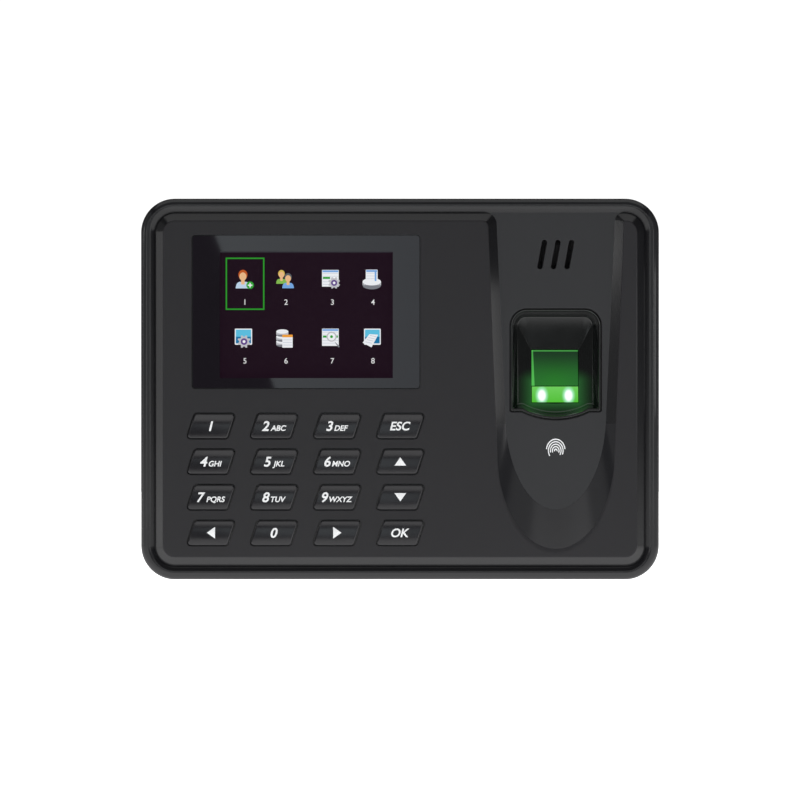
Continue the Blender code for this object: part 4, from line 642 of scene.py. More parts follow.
# %% Screw bosses
BOSS_RADIUS = 3.5 * MM
BORE_RADIUS = 1.75 * MM
screws = [middle(f"cover_screw_{k}") for k in range(1, 5)]
bm = bmesh.new()
for spot in screws:
    rod(bm, at(spot.x, 24.3 * MM, spot.z), at(spot.x, VALLEY - 0.4 * MM, spot.z), BOSS_RADIUS)
combine(front_shell, "UNION", "screw_bosses", bm)
bm = bmesh.new()
for spot in screws:
    rod(bm, at(spot.x, 20 * MM, spot.z), at(spot.x, 30.1 * MM, spot.z), BORE_RADIUS)
combine(front_shell, "DIFFERENCE", "screw_bores", bm)
finish_surface(front_shell, 26, VALLEY)
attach(front_shell, "case")
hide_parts("front_cover")
print("front shell with openings:", len(front_shell.data.polygons), "faces")

# %% [markdown]
# ## The rear moulding
# The back is a tray with a wide rounded edge, so that the case looks thinner on the wall. A recess takes the
# wall plate, four deep wells take the cover screws, and the ports and the lock screw come in from below.
# Like the front, it is a loft of outlines and then cutters. Rows of shallow grooves, which such backs have
# for stiffness and grip, break up the plain ends.

# %% Rear shell
BACK = -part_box("rear_cover")[1].y
REAR_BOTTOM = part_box("rear_cover")[0].z
plate_low, plate_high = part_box("wall_plate")
# The tray's inner skin and lip as (inset, distance from the wall), then its outer side as a wide round.
TRAY_INSIDE = [(6.6, 2.7), (5.0, 4.0), (4.1, 6.0), (3.9, 8.5), (3.9, 29.0)]
TRAY_INSIDE += [(2.7, 29.0), (2.7, 27.2), (0.75, 27.2)]
TRAY_SIDE = 0.6 * MM
TRAY_ROUND = (3.6 * MM, 9.0 * MM)

profile = [(inset * MM, depth * MM) for inset, depth in TRAY_INSIDE] + [(TRAY_SIDE, 27.05 * MM)]
for k in range(11):
    turn = math.pi / 2 * k / 10
    inset = TRAY_SIDE + TRAY_ROUND[0] * (1 - math.cos(turn))
    profile.append((inset, BACK + TRAY_ROUND[1] * (1 - math.sin(turn))))
bm = bmesh.new()
loft(bm, [flat(case_outline(inset), depth) for inset, depth in profile])
rear_shell = solid("rear_shell", bm)
print("tray:", len(profile), "rings")


# %% Recess, towers and lock boss
def plate_outline(grow):
    reach = 1 * MM + grow
    ends = (plate_low.x - reach, plate_high.x + reach, plate_low.z - reach, plate_high.z + reach)
    return rounded_box(*ends, 4 * MM + grow, 10)


bm = bmesh.new()
block(bm, plate_outline(WALL), 1.4 * MM, 7.2 * MM)
for spot in screws:
    rod(bm, at(spot.x, 1.4 * MM, spot.z), at(spot.x, 24 * MM, spot.z), 4.4 * MM)
combine(rear_shell, "UNION", "recess_and_towers", bm)
lock = middle("lock_screw")
bm = bmesh.new()
box_block(bm, (-5 * MM, 5 * MM), (6.1 * MM, 14 * MM), (REAR_BOTTOM + 1.2 * MM, REAR_BOTTOM + 5.6 * MM))
combine(rear_shell, "UNION", "lock_boss", bm)
bm = bmesh.new()
flared(bm, plate_outline, 5 * MM, BACK, 1.0, -1)
combine(rear_shell, "DIFFERENCE", "plate_recess", bm)
print("rear shell:", len(rear_shell.data.polygons), "faces before its holes")


# %% Ports and screw wells
def port_cutter(bm, x, depth, soft=0.5):
    """A soft-edged hole up through the bottom wall."""
    rings = []
    for grow, rise in [(0, 5 * MM)] + [(grow * soft * MM, -rise * soft * MM) for grow, rise in FLARE]:
        shape = rounded_box(x[0] - grow, x[1] + grow, depth[0] - grow, depth[1] + grow, 0.5 * MM + grow, 4)
        rings.append([at(u, v, REAR_BOTTOM + rise) for u, v in shape])
    loft(bm, rings)


def bottom_bore(bm, x, depth, low, high, radius):
    rod(bm, at(x, depth, REAR_BOTTOM + low), at(x, depth, REAR_BOTTOM + high), radius)


bm = bmesh.new()
for node in ("usb_socket", "power_jack"):
    low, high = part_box(node)
    port_cutter(bm, (low.x - GAP, high.x + GAP), (-high.y - GAP, -low.y + GAP))
reset = middle("reset_plunger")
bottom_bore(bm, reset.x, -reset.y, -1 * MM, 5 * MM, 1 * MM)
bottom_bore(bm, 0, -lock.y, -1 * MM, 2.9 * MM, 3 * MM)
for spot in screws:
    flared(bm, lambda grow: circle(spot.x, spot.z, 3 * MM + grow), 12 * MM, BACK, 1.0, -1)
combine(rear_shell, "DIFFERENCE", "ports_and_wells", bm)
print("ports and", len(screws), "screw wells cut")

# %% Bores, hook slots and grip grooves
HOOK_SPOTS = [(x * MM, z * MM) for x in (-46, 46) for z in (24, -26)]
GROOVE_X, GROOVE_PITCH = 72 * MM, 4.2 * MM
GROOVE_HALF_LENGTH, GROOVE_HALF_WIDTH = 7 * MM, 0.9 * MM

bm = bmesh.new()
bottom_bore(bm, 0, -lock.y, 2 * MM, 13.2 * MM, BORE_RADIUS)
for spot in screws:
    rod(bm, at(spot.x, 11 * MM, spot.z), at(spot.x, 25 * MM, spot.z), BORE_RADIUS)
for x, z in HOOK_SPOTS:
    box_block(bm, (x - 4.3 * MM, x + 4.3 * MM), (2.6 * MM, 9.6 * MM), (z - 5.8 * MM, z + 0.3 * MM))
box_block(bm, (-6.3 * MM, 6.3 * MM), (2.6 * MM, 19 * MM), (plate_low.z - GAP, plate_low.z + 1.8 * MM))
combine(rear_shell, "DIFFERENCE", "bores_and_slots", bm)


def groove_outline(x, z, grow):
    wide, high = GROOVE_HALF_LENGTH + grow, GROOVE_HALF_WIDTH + grow
    return rounded_box(x - wide, x + wide, z - high, z + high, high - 0.05 * MM, 6)


bm = bmesh.new()
for side in (-1, 1):
    for k in range(-4, 5):
        x, z = side * GROOVE_X, k * GROOVE_PITCH
        flared(bm, lambda grow: groove_outline(x, z, grow), 1.0 * MM, BACK, 0.8, -1)
combine(rear_shell, "DIFFERENCE", "grip_grooves", bm)
finish_surface(rear_shell, 30)
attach(rear_shell, "case")
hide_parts("rear_cover")
print("rear shell with holes:", len(rear_shell.data.polygons), "faces")

# %% [markdown]
# ## Keys
# Each cap is gloss plastic on a flange that keeps it from falling out. Its front is two flats that meet in a
# line across the middle: the upper one leans back, so it catches the light overhead and the lower one stays
# dark. The cap is lofted flat, cut along the crease, and its upper half is leaned back.

# %% Key caps
KEY_FRONT = -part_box("key_1")[0].y
UPPER_LEAN = math.tan(math.radians(7))
LOWER_LEAN = math.tan(math.radians(0.8))
CREASE = 0.25 * MM


def key_front(height):
    """Depth of a key's front at a height over its middle."""
    rise = height - CREASE
    return KEY_FRONT - (UPPER_LEAN * rise if rise > 0 else -LOWER_LEAN * rise)


def cut_at_crease(bm, z):
    everything = [*bm.verts, *bm.edges, *bm.faces]
    bmesh.ops.bisect_plane(bm, geom=everything, dist=1e-8, plane_co=(0, 0, z + CREASE), plane_no=(0, 0, 1))


# Outlines of the stem, the flange, the side and the rounded edge, as (growth, distance behind the front).
STEM = -2.6
SECTIONS = [(STEM, 5.0), (1.0, 5.0), (1.0, 4.2), (0, 4.2), (0, 0.55)]
SECTIONS += [(-0.05, 0.3), (-0.16, 0.13), (-0.32, 0.03), (-0.5, 0)]
for name in KEYS:
    x, _, z = middle(name)
    rings = [flat(key_outline(x, z, STEM * MM), -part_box(name)[1].y)]
    rings += [flat(key_outline(x, z, grow * MM), KEY_FRONT - drop * MM) for grow, drop in SECTIONS]
    bm = bmesh.new()
    loft(bm, rings)
    cut_at_crease(bm, z)
    for vert in bm.verts:
        if -vert.co.y > KEY_FRONT - 0.7 * MM:
            vert.co.y += KEY_FRONT - key_front(vert.co.z - z)
    cap = solid(f"{name}_cap", bm)
    finish_surface(cap, 40)
    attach(cap, name)
    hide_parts(name)
print(len(KEYS), "key caps, front", round(1e3 * KEY_FRONT, 2), "mm from the wall")

# %% [markdown]
# ## The finger well
# Round the sensor the channel drops into a gloss black bowl: a thin lip, steep walls, and a floor that meets
# the tilted glass. The CAD solid is a plain funnel, so a rounder bowl stands for it. It is one closed loft
# that runs from the glass up the inside, over the lip, round the hidden flange and back underneath.

# %% Well bowl
prism_low, prism_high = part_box("sensor_prism")
bar_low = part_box("light_bar")[0]
PRISM_SLOPE = 0.257


def glass_depth(z):
    return -bar_low.y - PRISM_SLOPE * (z - bar_low.z)


def bowl_floor(z):
    return max(glass_depth(z) + GAP, glass_depth(prism_high.z) + GAP)


def sensor_opening(grow):
    reach = GAP + grow
    low, high = bar_low.z - reach, prism_high.z + reach
    return pocket_outline(8 * MM + reach, high, low, reach, reach, 4 * MM, 0.15 * MM)


lip = VALLEY - GAP
flange_back, flange_front = VALLEY - 4.2 * MM, VALLEY - 2.7 * MM


def wall_ring(inset, share):
    return flat(well_outline(-inset * MM), lambda z: lip - (lip - bowl_floor(z)) * share)


def flange_ring(inset, depth):
    return flat(well_outline(-inset * MM), depth)


# The wall from its foot to the lip, as (inset from the well's outline, share of the way down to the floor).
WALL_STEPS = [(3.1, 0.995), (2.75, 0.97), (2.45, 0.92), (2.2, 0.84), (1.95, 0.7), (1.55, 0.4), (1.2, 0.12)]
WALL_STEPS += [(1.0, 0.05), (0.8, 0.015)]
rings = [flat(sensor_opening(0), lambda z: glass_depth(z) - 1.5 * MM), flat(sensor_opening(0), bowl_floor)]
rings.append(flat(blend(sensor_opening(0), well_outline(-3.1 * MM), 0.5), bowl_floor))
rings += [wall_ring(inset, share) for inset, share in WALL_STEPS]
rings += [flange_ring(inset, lip - drop * MM) for inset, drop in ((0.6, 0), (0.42, 0.06), (0.3, 0.2))]
rings += [flange_ring(0.3, flange_front), flange_ring(-2, flange_front)]
rings += [flange_ring(-2, flange_back), flange_ring(0.3, flange_back)]
rings.append(flange_ring(0.8, lambda z: min(flange_back - 0.2 * MM, bowl_floor(z) - 1.2 * MM)))
rings.append(flat(sensor_opening(1.2 * MM), lambda z: glass_depth(z) - 1.5 * MM))
bm = bmesh.new()
loft(bm, rings, join=True)
sensor_well = solid("sensor_well", bm)
finish_surface(sensor_well, 35)
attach(sensor_well, "case")
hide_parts("sensor_bezel")
print("well bowl:", len(rings), "rings,", len(sensor_well.data.polygons), "faces")

# %% [markdown]
# ## Case and key plastic
# The case is black ABS with a fine moulded texture: nearly no colour of its own, a satin gloss, and grain
# finer than half a millimetre, made here as bump from noise. The channel's floor is tinted a little lighter.
# The crest of the rim's bead is tinted lighter as a painted highlight, fading out near the bottom, and the
# ramp below the well is tinted lighter as a painted sheen. The keys are the same plastic with a gloss face.

# %% Case and key plastic
case_plastic = Finish("case_plastic", roughness=0.4, specular_ior_level=0.42)
x, y, z = case_plastic.axes()
depth = -1 * y
slope = (depth > VALLEY + 0.02 * MM) * (depth < FRONT - 0.16 * MM)
channel_floor = (depth > VALLEY - 0.02 * MM) * (depth < VALLEY + 0.02 * MM) * (x > 25 * MM)
cloud = case_plastic.noise(22, 3)
# Painted highlight: the crest of the rim's bead is tinted lighter, as if lit, and the tint fades out over
# the lowest 25 mm, where the floor already lights the bead.
across = abs(x) - (HALF_WIDTH - 4.6 * MM)
along = abs(z) - (HALF_HEIGHT - 4.6 * MM)
painted_rim_highlight = x.maths("MAXIMUM", across, along) / (1.2 * MM) * (depth > VALLEY + 0.2 * MM)
from_below = (z + HALF_HEIGHT) / (25 * MM)
painted_rim_highlight = case_plastic.rise(painted_rim_highlight) * case_plastic.rise(from_below)
# Painted sheen: the ramp below the well is tinted lighter than the other slopes, standing for the light it
# catches.
ramp = slope * (x > 25 * MM) * (x < 82 * MM) * (z < -12 * MM) * (z > -57 * MM)
tint = case_plastic.mix(cloud, (0.0046, 0.0040, 0.0062), (0.0064, 0.0058, 0.0082))
tint = case_plastic.mix(channel_floor, tint, (0.0165, 0.0172, 0.0195))
tint = case_plastic.mix(painted_rim_highlight, tint, (0.0150, 0.0156, 0.0172))
tint = case_plastic.mix(slope * (1 - painted_rim_highlight), tint, (0.0060, 0.0060, 0.0072))
tint = case_plastic.mix(ramp, tint, (0.0125, 0.0125, 0.0145))
grain = case_plastic.noise(2600, 2, 0.6)
case_plastic.set(base_color=tint, roughness=0.29 + 0.1 * grain - 0.17 * slope)
case_plastic.bump(grain * (1 - slope), 0.012 * MM, 0.35)

key_plastic = Finish("key_plastic", roughness=0.16)
speck = key_plastic.noise(1800, 2)
key_plastic.set(base_color=key_plastic.mix(speck, (0.0060, 0.0052, 0.0076), (0.0078, 0.0070, 0.0094)))
key_plastic.set(roughness=0.10 + 0.05 * key_plastic.noise(140, 2))
key_plastic.bump(speck, 0.004 * MM, 0.2)

case_plastic.onto(front_shell, rear_shell)
key_plastic.onto(*(bpy.data.objects[f"{name}_cap"] for name in KEYS))
print("case and key plastic on", 2 + len(KEYS), "pieces")

# %% [markdown]
# ## Printed key legends
# The legends are pad-printed: an even film of white ink that follows the cap's two flats. Blender's text
# gives the letters. Each text becomes a mesh, is cut along the key's crease and laid on the face, a
# hundredth of a millimetre proud. Only digits, the standard telephone letters and arrows are printed.

# %% Lettering helpers
def lettering(text, lean=0.24, weight=0.022):
    """A text as a mesh one cap height tall that starts at x = 0, with its width."""
    curve = bpy.data.curves.new("lettering", "FONT")
    curve.body = text
    curve.shear = lean
    curve.offset = weight
    curve.extrude = 0.1
    holder = bpy.data.objects.new("lettering", curve)
    bpy.context.scene.collection.objects.link(holder)
    bpy.context.view_layer.update()
    mesh = bpy.data.meshes.new_from_object(holder.evaluated_get(bpy.context.evaluated_depsgraph_get()))
    bpy.data.objects.remove(holder)
    left = min(vert.co.x for vert in mesh.vertices)
    mesh.transform(Matrix.Translation((-left, 0, 0)))
    mesh.transform(Matrix.Scale(1 / CAP_HEIGHT, 4))
    return mesh, max(vert.co.x for vert in mesh.vertices)


CAP_HEIGHT = 1.0
CAP_HEIGHT = max(vert.co.y for vert in lettering("H", 0)[0].vertices)


def write(bm, words, x, z, gap=0.35 * MM, **style):
    """Adds (text, cap height) words side by side, centred on x, standing on z."""
    meshes = [(*lettering(text, **style), cap) for text, cap in words]
    wide = sum(width * cap for mesh, width, cap in meshes) + gap * (len(meshes) - 1)
    left = x - wide / 2
    for mesh, width, cap in meshes:
        mesh.transform(Matrix.LocRotScale((left, 0, z), Matrix.Rotation(math.pi / 2, 3, "X"), (cap,) * 3))
        bm.from_mesh(mesh)
        left += width * cap + gap


print("cap height of the lettering:", round(CAP_HEIGHT, 3))

# %% Key legends
ink = Finish("white_ink_faint_glow", roughness=0.45)
ink.set(base_color=ink.mix(ink.noise(900, 2), (0.80, 0.82, 0.83), (0.90, 0.91, 0.92)))
# Painted glow: besides its white colour, the ink gives off a faint light of its own, so the print stays
# bright.
ink.set(emission_color=(1, 1, 1, 1), emission_strength=0.12)
for name in KEYS:
    x, _, z = middle(name)
    bm = bmesh.new()
    if name in ARROWS:
        bmesh.ops.create_circle(bm, cap_ends=True, segments=3, radius=1)
        bmesh.ops.transform(bm, matrix=Matrix.Diagonal((2.35 * MM, 1.9 * MM, 1, 1)), verts=bm.verts)
        bmesh.ops.transform(bm, matrix=Matrix.Translation((0, -0.45 * MM, -1)), verts=bm.verts)
        solid_arrow = bmesh.ops.extrude_face_region(bm, geom=bm.faces[:])["geom"]
        top = [vert for vert in solid_arrow if isinstance(vert, bmesh.types.BMVert)]
        bmesh.ops.translate(bm, vec=(0, 0, 2), verts=top)
        turn = Matrix.Rotation(math.pi / 2, 4, "X") @ Matrix.Rotation(math.radians(ARROWS[name]), 4, "Z")
        bmesh.ops.transform(bm, matrix=Matrix.Translation((x, 0, z)) @ turn, verts=bm.verts)
    elif name in ("key_escape", "key_enter"):
        word, cap = ("ESC", 2.9 * MM) if name == "key_escape" else ("OK", 2.9 * MM)
        write(bm, [(word, cap)], x, z - cap / 2)
    else:
        words = [(name[-1], 3.3 * MM)] + ([(LETTERS[name], 1.85 * MM)] if name in LETTERS else [])
        write(bm, words, x, z - 1.65 * MM)
    cut_at_crease(bm, z)
    for vert in bm.verts:
        lift = 0.012 * MM if vert.co.y < 0 else -0.01 * MM
        vert.co.y = -key_front(vert.co.z - z) - lift
    legend = solid(f"{name}_legend", bm)
    ink.onto(legend)
    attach(legend, name)
print(len(KEYS), "legends printed")

# %% [markdown]
# ## A mark for the finger
# A plain printed fingerprint sign, of the kind that any such reader may carry, sits below the well. It is
# five open hoops of ink, each a thin band between two arcs, closed at its ends.

# %% Finger sign
SIGN_Z = -21.4 * MM
HALF_LINE = 0.17
TALLER = 1.22
# Each hoop's radius in millimetres, and the angles at which it starts and stops.
HOOPS = [(0.45, -20, 200), (1.15, -30, 205), (1.85, -38, 195), (2.55, -25, 215), (3.25, 8, 172)]


def arc(radius, turns):
    centre = Vector((CHANNEL_X, SIGN_Z))
    return [centre + Vector((math.cos(t) * radius, math.sin(t) * radius * TALLER)) * MM for t in turns]


bm = bmesh.new()
for radius, start, stop in HOOPS:
    turns = [math.radians(start + (stop - start) * k / 36) for k in range(37)]
    hoop = arc(radius + HALF_LINE, turns) + arc(radius - HALF_LINE, turns[::-1])
    block(bm, hoop, VALLEY - 0.01 * MM, VALLEY + 0.015 * MM)
finger_sign = solid("finger_sign", bm)
# The finger sign uses the same ink, with its faint painted glow.
ink.onto(finger_sign)
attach(finger_sign, "case")
print("finger sign:", len(finger_sign.data.polygons), "faces")

# %% [markdown]
# ## Window and display
# The window is clear plastic, painted black behind all but the display's lit area. One gloss shader does
# both: its alpha drops to nothing over the lit area. The display is a dark panel that gives its own light,
# with a menu of eight pictures. Each picture is a few flat cut-outs whose colour is stored on their
# corners, so one emission material shows them all. A class holds the shapes that the pictures share.

# %% Window and panel
VIEW_X, VIEW_Z = window_x + 0.1 * MM, window_z - 1.0 * MM
VIEW_HALF = (30.0 * MM, 22.0 * MM)
window_gloss = Finish("window_gloss", roughness=0.04)
x, y, z = window_gloss.axes()
clear = (abs(x - VIEW_X) < VIEW_HALF[0]) * (abs(z - VIEW_Z) < VIEW_HALF[1])
smear = window_gloss.noise(60, 4, 0.6)
window_gloss.set(alpha=1 - clear, roughness=0.01 + 0.02 * smear)
window_gloss.set(base_color=window_gloss.mix(smear, (0.0060, 0.0042, 0.0075), (0.0080, 0.0058, 0.0095)))
window_gloss.onto(frame["nodes"]["display_window"])

panel = Finish("panel_glow", (0.004, 0.003, 0.004), roughness=0.5, specular_ior_level=0.0)
x, y, z = panel.axes()
dots = panel.noise(900, 1)
shade = panel.mix(dots, (0.0102, 0.0040, 0.0086), (0.0120, 0.0050, 0.0101))
top_line = z > VIEW_Z + VIEW_HALF[1] - 0.3 * MM
panel.set(emission_color=panel.mix(top_line, shade, (0.040, 0.042, 0.048)))
panel.set(emission_strength=1.0)
panel.onto(frame["nodes"]["lcd_panel"])
print("window clear over", [round(2e3 * side) for side in VIEW_HALF], "mm")

# %% Colours of the menu
SKIN = srgb(240, 190, 140)
HAIR = srgb(196, 92, 38)
BLONDE = srgb(222, 190, 92)
GREY_HAIR = srgb(92, 98, 104)
SHIRT = srgb(196, 218, 240)
LEAF = srgb(136, 190, 84)
SKY = srgb(122, 172, 232)
PAPER = srgb(244, 246, 250)
STEEL = srgb(196, 196, 202)
DARK_STEEL = srgb(128, 130, 138)
VIOLET = srgb(98, 66, 140)
GREEN = srgb(52, 168, 56)
AQUA = srgb(96, 196, 230)
DEEP_AQUA = srgb(30, 120, 170)
RULE = srgb(176, 188, 206)
ORANGE = srgb(246, 162, 60)
CHOICE = srgb(46, 152, 46)
print("menu colours chosen")


# %% Shapes that the pictures share
class Picture:
    """Flat coloured cut-outs about one spot, each in front of the last. Sizes are in millimetres."""

    def __init__(self, bm, x, z):
        self.bm = bm
        self.x, self.z = x, z
        self.layer = 0

    def cut_out(self, outline, colour):
        self.layer += 1
        depth = panel_front + 0.02 * MM + 0.004 * MM * self.layer
        points = [at(self.x + u * MM, depth, self.z + v * MM) for u, v in outline]
        verts = [self.bm.verts.new(point) for point in points]
        sides = [self.bm.edges.new((verts[i - 1], verts[i])) for i in range(len(verts))]
        face = bmesh.ops.contextual_create(self.bm, geom=sides)["faces"][0]
        if face.normal.y > 0 or face.calc_area() == 0:
            face.normal_flip()
        for corner in face.loops:
            corner[inks] = (*colour, 1)

    def disc(self, u, v, radius, colour, squash=1.0):
        self.cut_out([Vector((u + p.x, v + p.y * squash)) for p in circle(0, 0, radius, 28)], colour)

    def sheet(self, u0, u1, v0, v1, colour, radius=0.15):
        self.cut_out(rounded_box(u0, u1, v0, v1, radius, 3), colour)

    def person(self, u, v, big, hair, shirt):
        bust = [(u - 1.9 * big, v - 2.6 * big, 0.2), (u + 1.9 * big, v - 2.6 * big, 0.2)]
        bust += [(u + 1.5 * big, v - 0.9 * big, 1.0 * big), (u - 1.5 * big, v - 0.9 * big, 1.0 * big)]
        self.cut_out(rounded(bust, 5), shirt)
        self.sheet(u - 0.45 * big, u + 0.45 * big, v - 1.6 * big, v, SKIN)
        self.disc(u, v + 0.9 * big, 1.15 * big, hair, 1.12)
        self.disc(u, v + 0.45 * big, 0.9 * big, SKIN, 1.18)

    def page(self, u0, u1, v0, v1):
        self.sheet(u0, u1, v0, v1, PAPER)
        self.sheet(u0 + 0.15, u1 - 0.15, v1 - 0.8, v1 - 0.15, SKY, 0.05)
        for k in range(1, 6):
            v = v1 - 0.95 * (k + 0.3)
            if v > v0 + 0.3:
                self.sheet(u0 + 0.2, u1 - 0.2, v - 0.05, v + 0.05, RULE, 0.02)

    def gear(self, u, v, radius):
        teeth = []
        for k in range(32):
            reach = radius * (1.0 if k % 4 in (1, 2) else 0.74)
            turn = 2 * math.pi * (k + 0.5) / 32
            teeth.append(Vector((u + reach * math.cos(turn), v + reach * math.sin(turn))))
        self.cut_out(teeth, STEEL)
        self.disc(u, v, radius * 0.5, VIOLET)
        self.disc(u, v, radius * 0.22, PAPER)

    def monitor(self, u0, u1, v0, v1):
        self.sheet(u0, u1, v0, v1, PAPER, 0.3)
        self.sheet(u0 + 0.35, u1 - 0.35, v0 + 0.45, v1 - 0.35, DEEP_AQUA, 0.1)
        self.sheet(u0 + 0.35, u1 - 0.35, (v0 + v1) / 2, v1 - 0.35, AQUA, 0.1)


panel_front = -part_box("lcd_panel")[0].y
print("pictures stand", round(1e3 * panel_front, 2), "mm from the wall")

# %% Upper row of the menu
COLUMNS = [-54.3 * MM, -40.0 * MM, -23.9 * MM, -9.8 * MM]
ROWS = [38.2 * MM, 17.8 * MM]
bm = bmesh.new()
inks = bm.loops.layers.float_color.new("ink")
pictures = [Picture(bm, x, z) for z in ROWS for x in COLUMNS]
new_user, two_users, page_gear, printer, computer_gear, discs, page_lens, computer_note = pictures

new_user.person(-0.3, 0.3, 1.35, HAIR, SHIRT)
new_user.disc(2.2, -2.1, 1.3, GREEN)
new_user.sheet(1.4, 3.0, -2.3, -1.9, PAPER, 0.05)
new_user.sheet(2.0, 2.4, -2.9, -1.3, PAPER, 0.05)
two_users.person(-1.2, 1.0, 1.0, BLONDE, LEAF)
two_users.person(1.1, -0.3, 1.1, GREY_HAIR, SKY)
page_gear.page(-3.2, 2.6, -2.6, 3.2)
page_gear.sheet(-2.9, -0.4, 0.1, 0.8, GREEN, 0.05)
page_gear.gear(1.0, -1.3, 2.1)
printer.disc(0, -2.1, 3.2, DARK_STEEL, 0.45)
printer.sheet(-3.2, 3.2, -2.1, -0.9, STEEL, 0.1)
for k in range(9):
    printer.sheet(-2.9 + 0.68 * k, -2.72 + 0.68 * k, -2.9, -1.1, DARK_STEEL, 0.03)
printer.disc(0, -0.9, 3.2, PAPER, 0.4)
printer.page(-2.1, 2.0, -0.9, 3.3)
printer.sheet(1.0, 1.6, -0.7, 2.9, SKY, 0.25)
print("upper row:", len(bm.faces), "cut-outs")

# %% Lower row of the menu
computer_gear.monitor(-3.1, 2.9, -2.4, 3.2)
computer_gear.gear(0.1, -1.3, 2.3)
for k in range(3):
    discs.disc(-0.9, -2.4 + 1.75 * k, 2.1, DARK_STEEL, 0.36)
    discs.sheet(-3.0, 1.2, -2.4 + 1.75 * k, -1.3 + 1.75 * k, STEEL, 0.1)
    discs.disc(-0.9, -1.3 + 1.75 * k, 2.1, PAPER, 0.36)
discs.sheet(-0.9, 2.7, -3.4, 1.1, PAPER, 0.1)
discs.sheet(-0.9, 2.7, 0.2, 1.1, ORANGE, 0.1)
for v in (-0.7, -1.6, -2.5):
    discs.sheet(-0.7, 2.5, v - 0.06, v + 0.06, RULE, 0.02)
page_lens.page(-3.2, 2.6, -2.8, 3.2)
page_lens.sheet(-2.9, 2.3, 0.1, 0.8, GREEN, 0.05)
handle = rounded([(0.9, -1.0, 0.1), (1.4, -1.5, 0.1), (3.0, -3.0, 0.2), (2.5, -3.4, 0.2)], 3)
page_lens.cut_out(handle, DARK_STEEL)
page_lens.disc(0.1, 0.4, 1.75, STEEL)
page_lens.disc(0.1, 0.4, 1.3, PAPER)
page_lens.disc(0.1, 0.4, 0.5, GREEN)
computer_note.monitor(-2.7, 3.1, -2.4, 3.2)
note = rounded([(-3.2, -1.7, 0.1), (-0.1, -3.3, 0.1), (2.2, 1.1, 0.1), (-0.8, 1.3, 0.1)], 3)
computer_note.cut_out(note, PAPER)
written_line = [(-0.7, 0.8), (1.5, 0.3), (1.5, 0.45), (-0.7, 0.95)]
for k in range(4):
    computer_note.cut_out([Vector((u - 0.5 * k, v - 0.75 * k)) for u, v in written_line], RULE)
print("both rows:", len(bm.faces), "cut-outs")

# %% Choice frame and numerals
CHOICE_SIDES = [(-6.3, 7.2, 8.6, 9.1), (-6.3, 7.2, -9.1, -8.6), (-6.3, -5.8, -9, 9), (6.7, 7.2, -9, 9)]
choice_frame = Picture(bm, COLUMNS[0], ROWS[0] - 1.6 * MM)
for side in CHOICE_SIDES:
    choice_frame.sheet(*side, CHOICE, 0.02)
menu = solid("menu_pictures", bm)
menu_glow = Finish("menu_glow", (0.002, 0.002, 0.002), roughness=0.5, specular_ior_level=0.0)
stored_colour = menu_glow.node("ShaderNodeAttribute", {"attribute_name": "ink"})
menu_glow.set(emission_color=stored_colour, emission_strength=0.9)
menu_glow.onto(menu)

bm = bmesh.new()
for i, picture in enumerate(pictures):
    write(bm, [(str(i + 1), 1.9 * MM)], picture.x + 0.4 * MM, picture.z - 8.9 * MM, lean=0, weight=0.004)
for vert in bm.verts:
    vert.co.y = -panel_front - (0.05 * MM if vert.co.y < 0 else 0.02 * MM)
numerals = solid("menu_numerals", bm)
numeral_glow = Finish("numeral_glow", (0.01, 0.01, 0.01), roughness=0.5, emission_strength=0.75)
numeral_glow.set(emission_color=numeral_glow.mix(numeral_glow.noise(700), (0.85, 0.85, 0.87), (1, 1, 1)))
numeral_glow.onto(numerals)
for piece in (menu, numerals):
    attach(piece, "case")
print("menu:", len(pictures), "pictures from", len(menu.data.polygons), "cut-outs")

# %% [markdown]
# ## The finger sensor
# Behind the well a glass prism is lit green from below, and a strip of clear plastic carries the light of
# two white LEDs to it. Both glow on their own here: the prism brightest low down, the strip bright green
# with a white spot in front of each LED. The well around them is gloss black, so it mirrors the green, and
# near the glass its walls also have a painted green glow.

# %% Glow of the prism
prism = Finish("prism_glow", (0.004, 0.012, 0.005), roughness=0.12, emission_strength=1.0)
x, y, z = prism.axes()
height = (z - prism_low.z) / (prism_high.z - prism_low.z)
side = (x - CHANNEL_X) / (prism_high.x - CHANNEL_X)
fall = prism.rise(height, smooth=True)
glow = prism.mix(fall, (0.017, 0.175, 0.018), (0.007, 0.030, 0.011))
glow = prism.mix(0.35 * abs(side) * (1 - height), glow, (0.018, 0.080, 0.030))
rim_light = ((height > 0.965) + (side < -0.955 + 0.06 * (1 - height))) * (0.9 - 0.3 * height)
prism.set(emission_color=prism.mix(prism.rise(rim_light), glow, (0.09, 0.52, 0.09)))
prism.onto(frame["nodes"]["sensor_prism"])
print("prism glows from", round(1e3 * prism_low.z, 1), "to", round(1e3 * prism_high.z, 1), "mm")

# %% Glow of the strip
LED_ASIDE, LED_Z = 4.66 * MM, -2.2 * MM
strip = Finish("strip_glow", (0.02, 0.06, 0.02), roughness=0.2, emission_strength=1.0)
x, y, z = strip.axes()
sideways = abs(abs(x - CHANNEL_X) - LED_ASIDE) / (1.3 * MM)
upwards = abs(z - LED_Z) / (1.9 * MM)
away = (sideways**2 + upwards**2) ** 0.5
halo = strip.rise(away, 2.0, 0.8, smooth=True)
core = strip.rise(away, 1.25, 0.75, smooth=True)
green = strip.mix(strip.rise(z, -4.6 * MM, 0.9 * MM), (0.070, 0.480, 0.022), (0.140, 0.570, 0.090))
green = strip.mix(halo, green, (0.45, 0.90, 0.62))
strip.set(emission_color=strip.mix(core, green, (1.0, 1.0, 1.0)))
strip.onto(frame["nodes"]["light_bar"])
print("LED spots", round(2e3 * LED_ASIDE, 1), "mm apart")
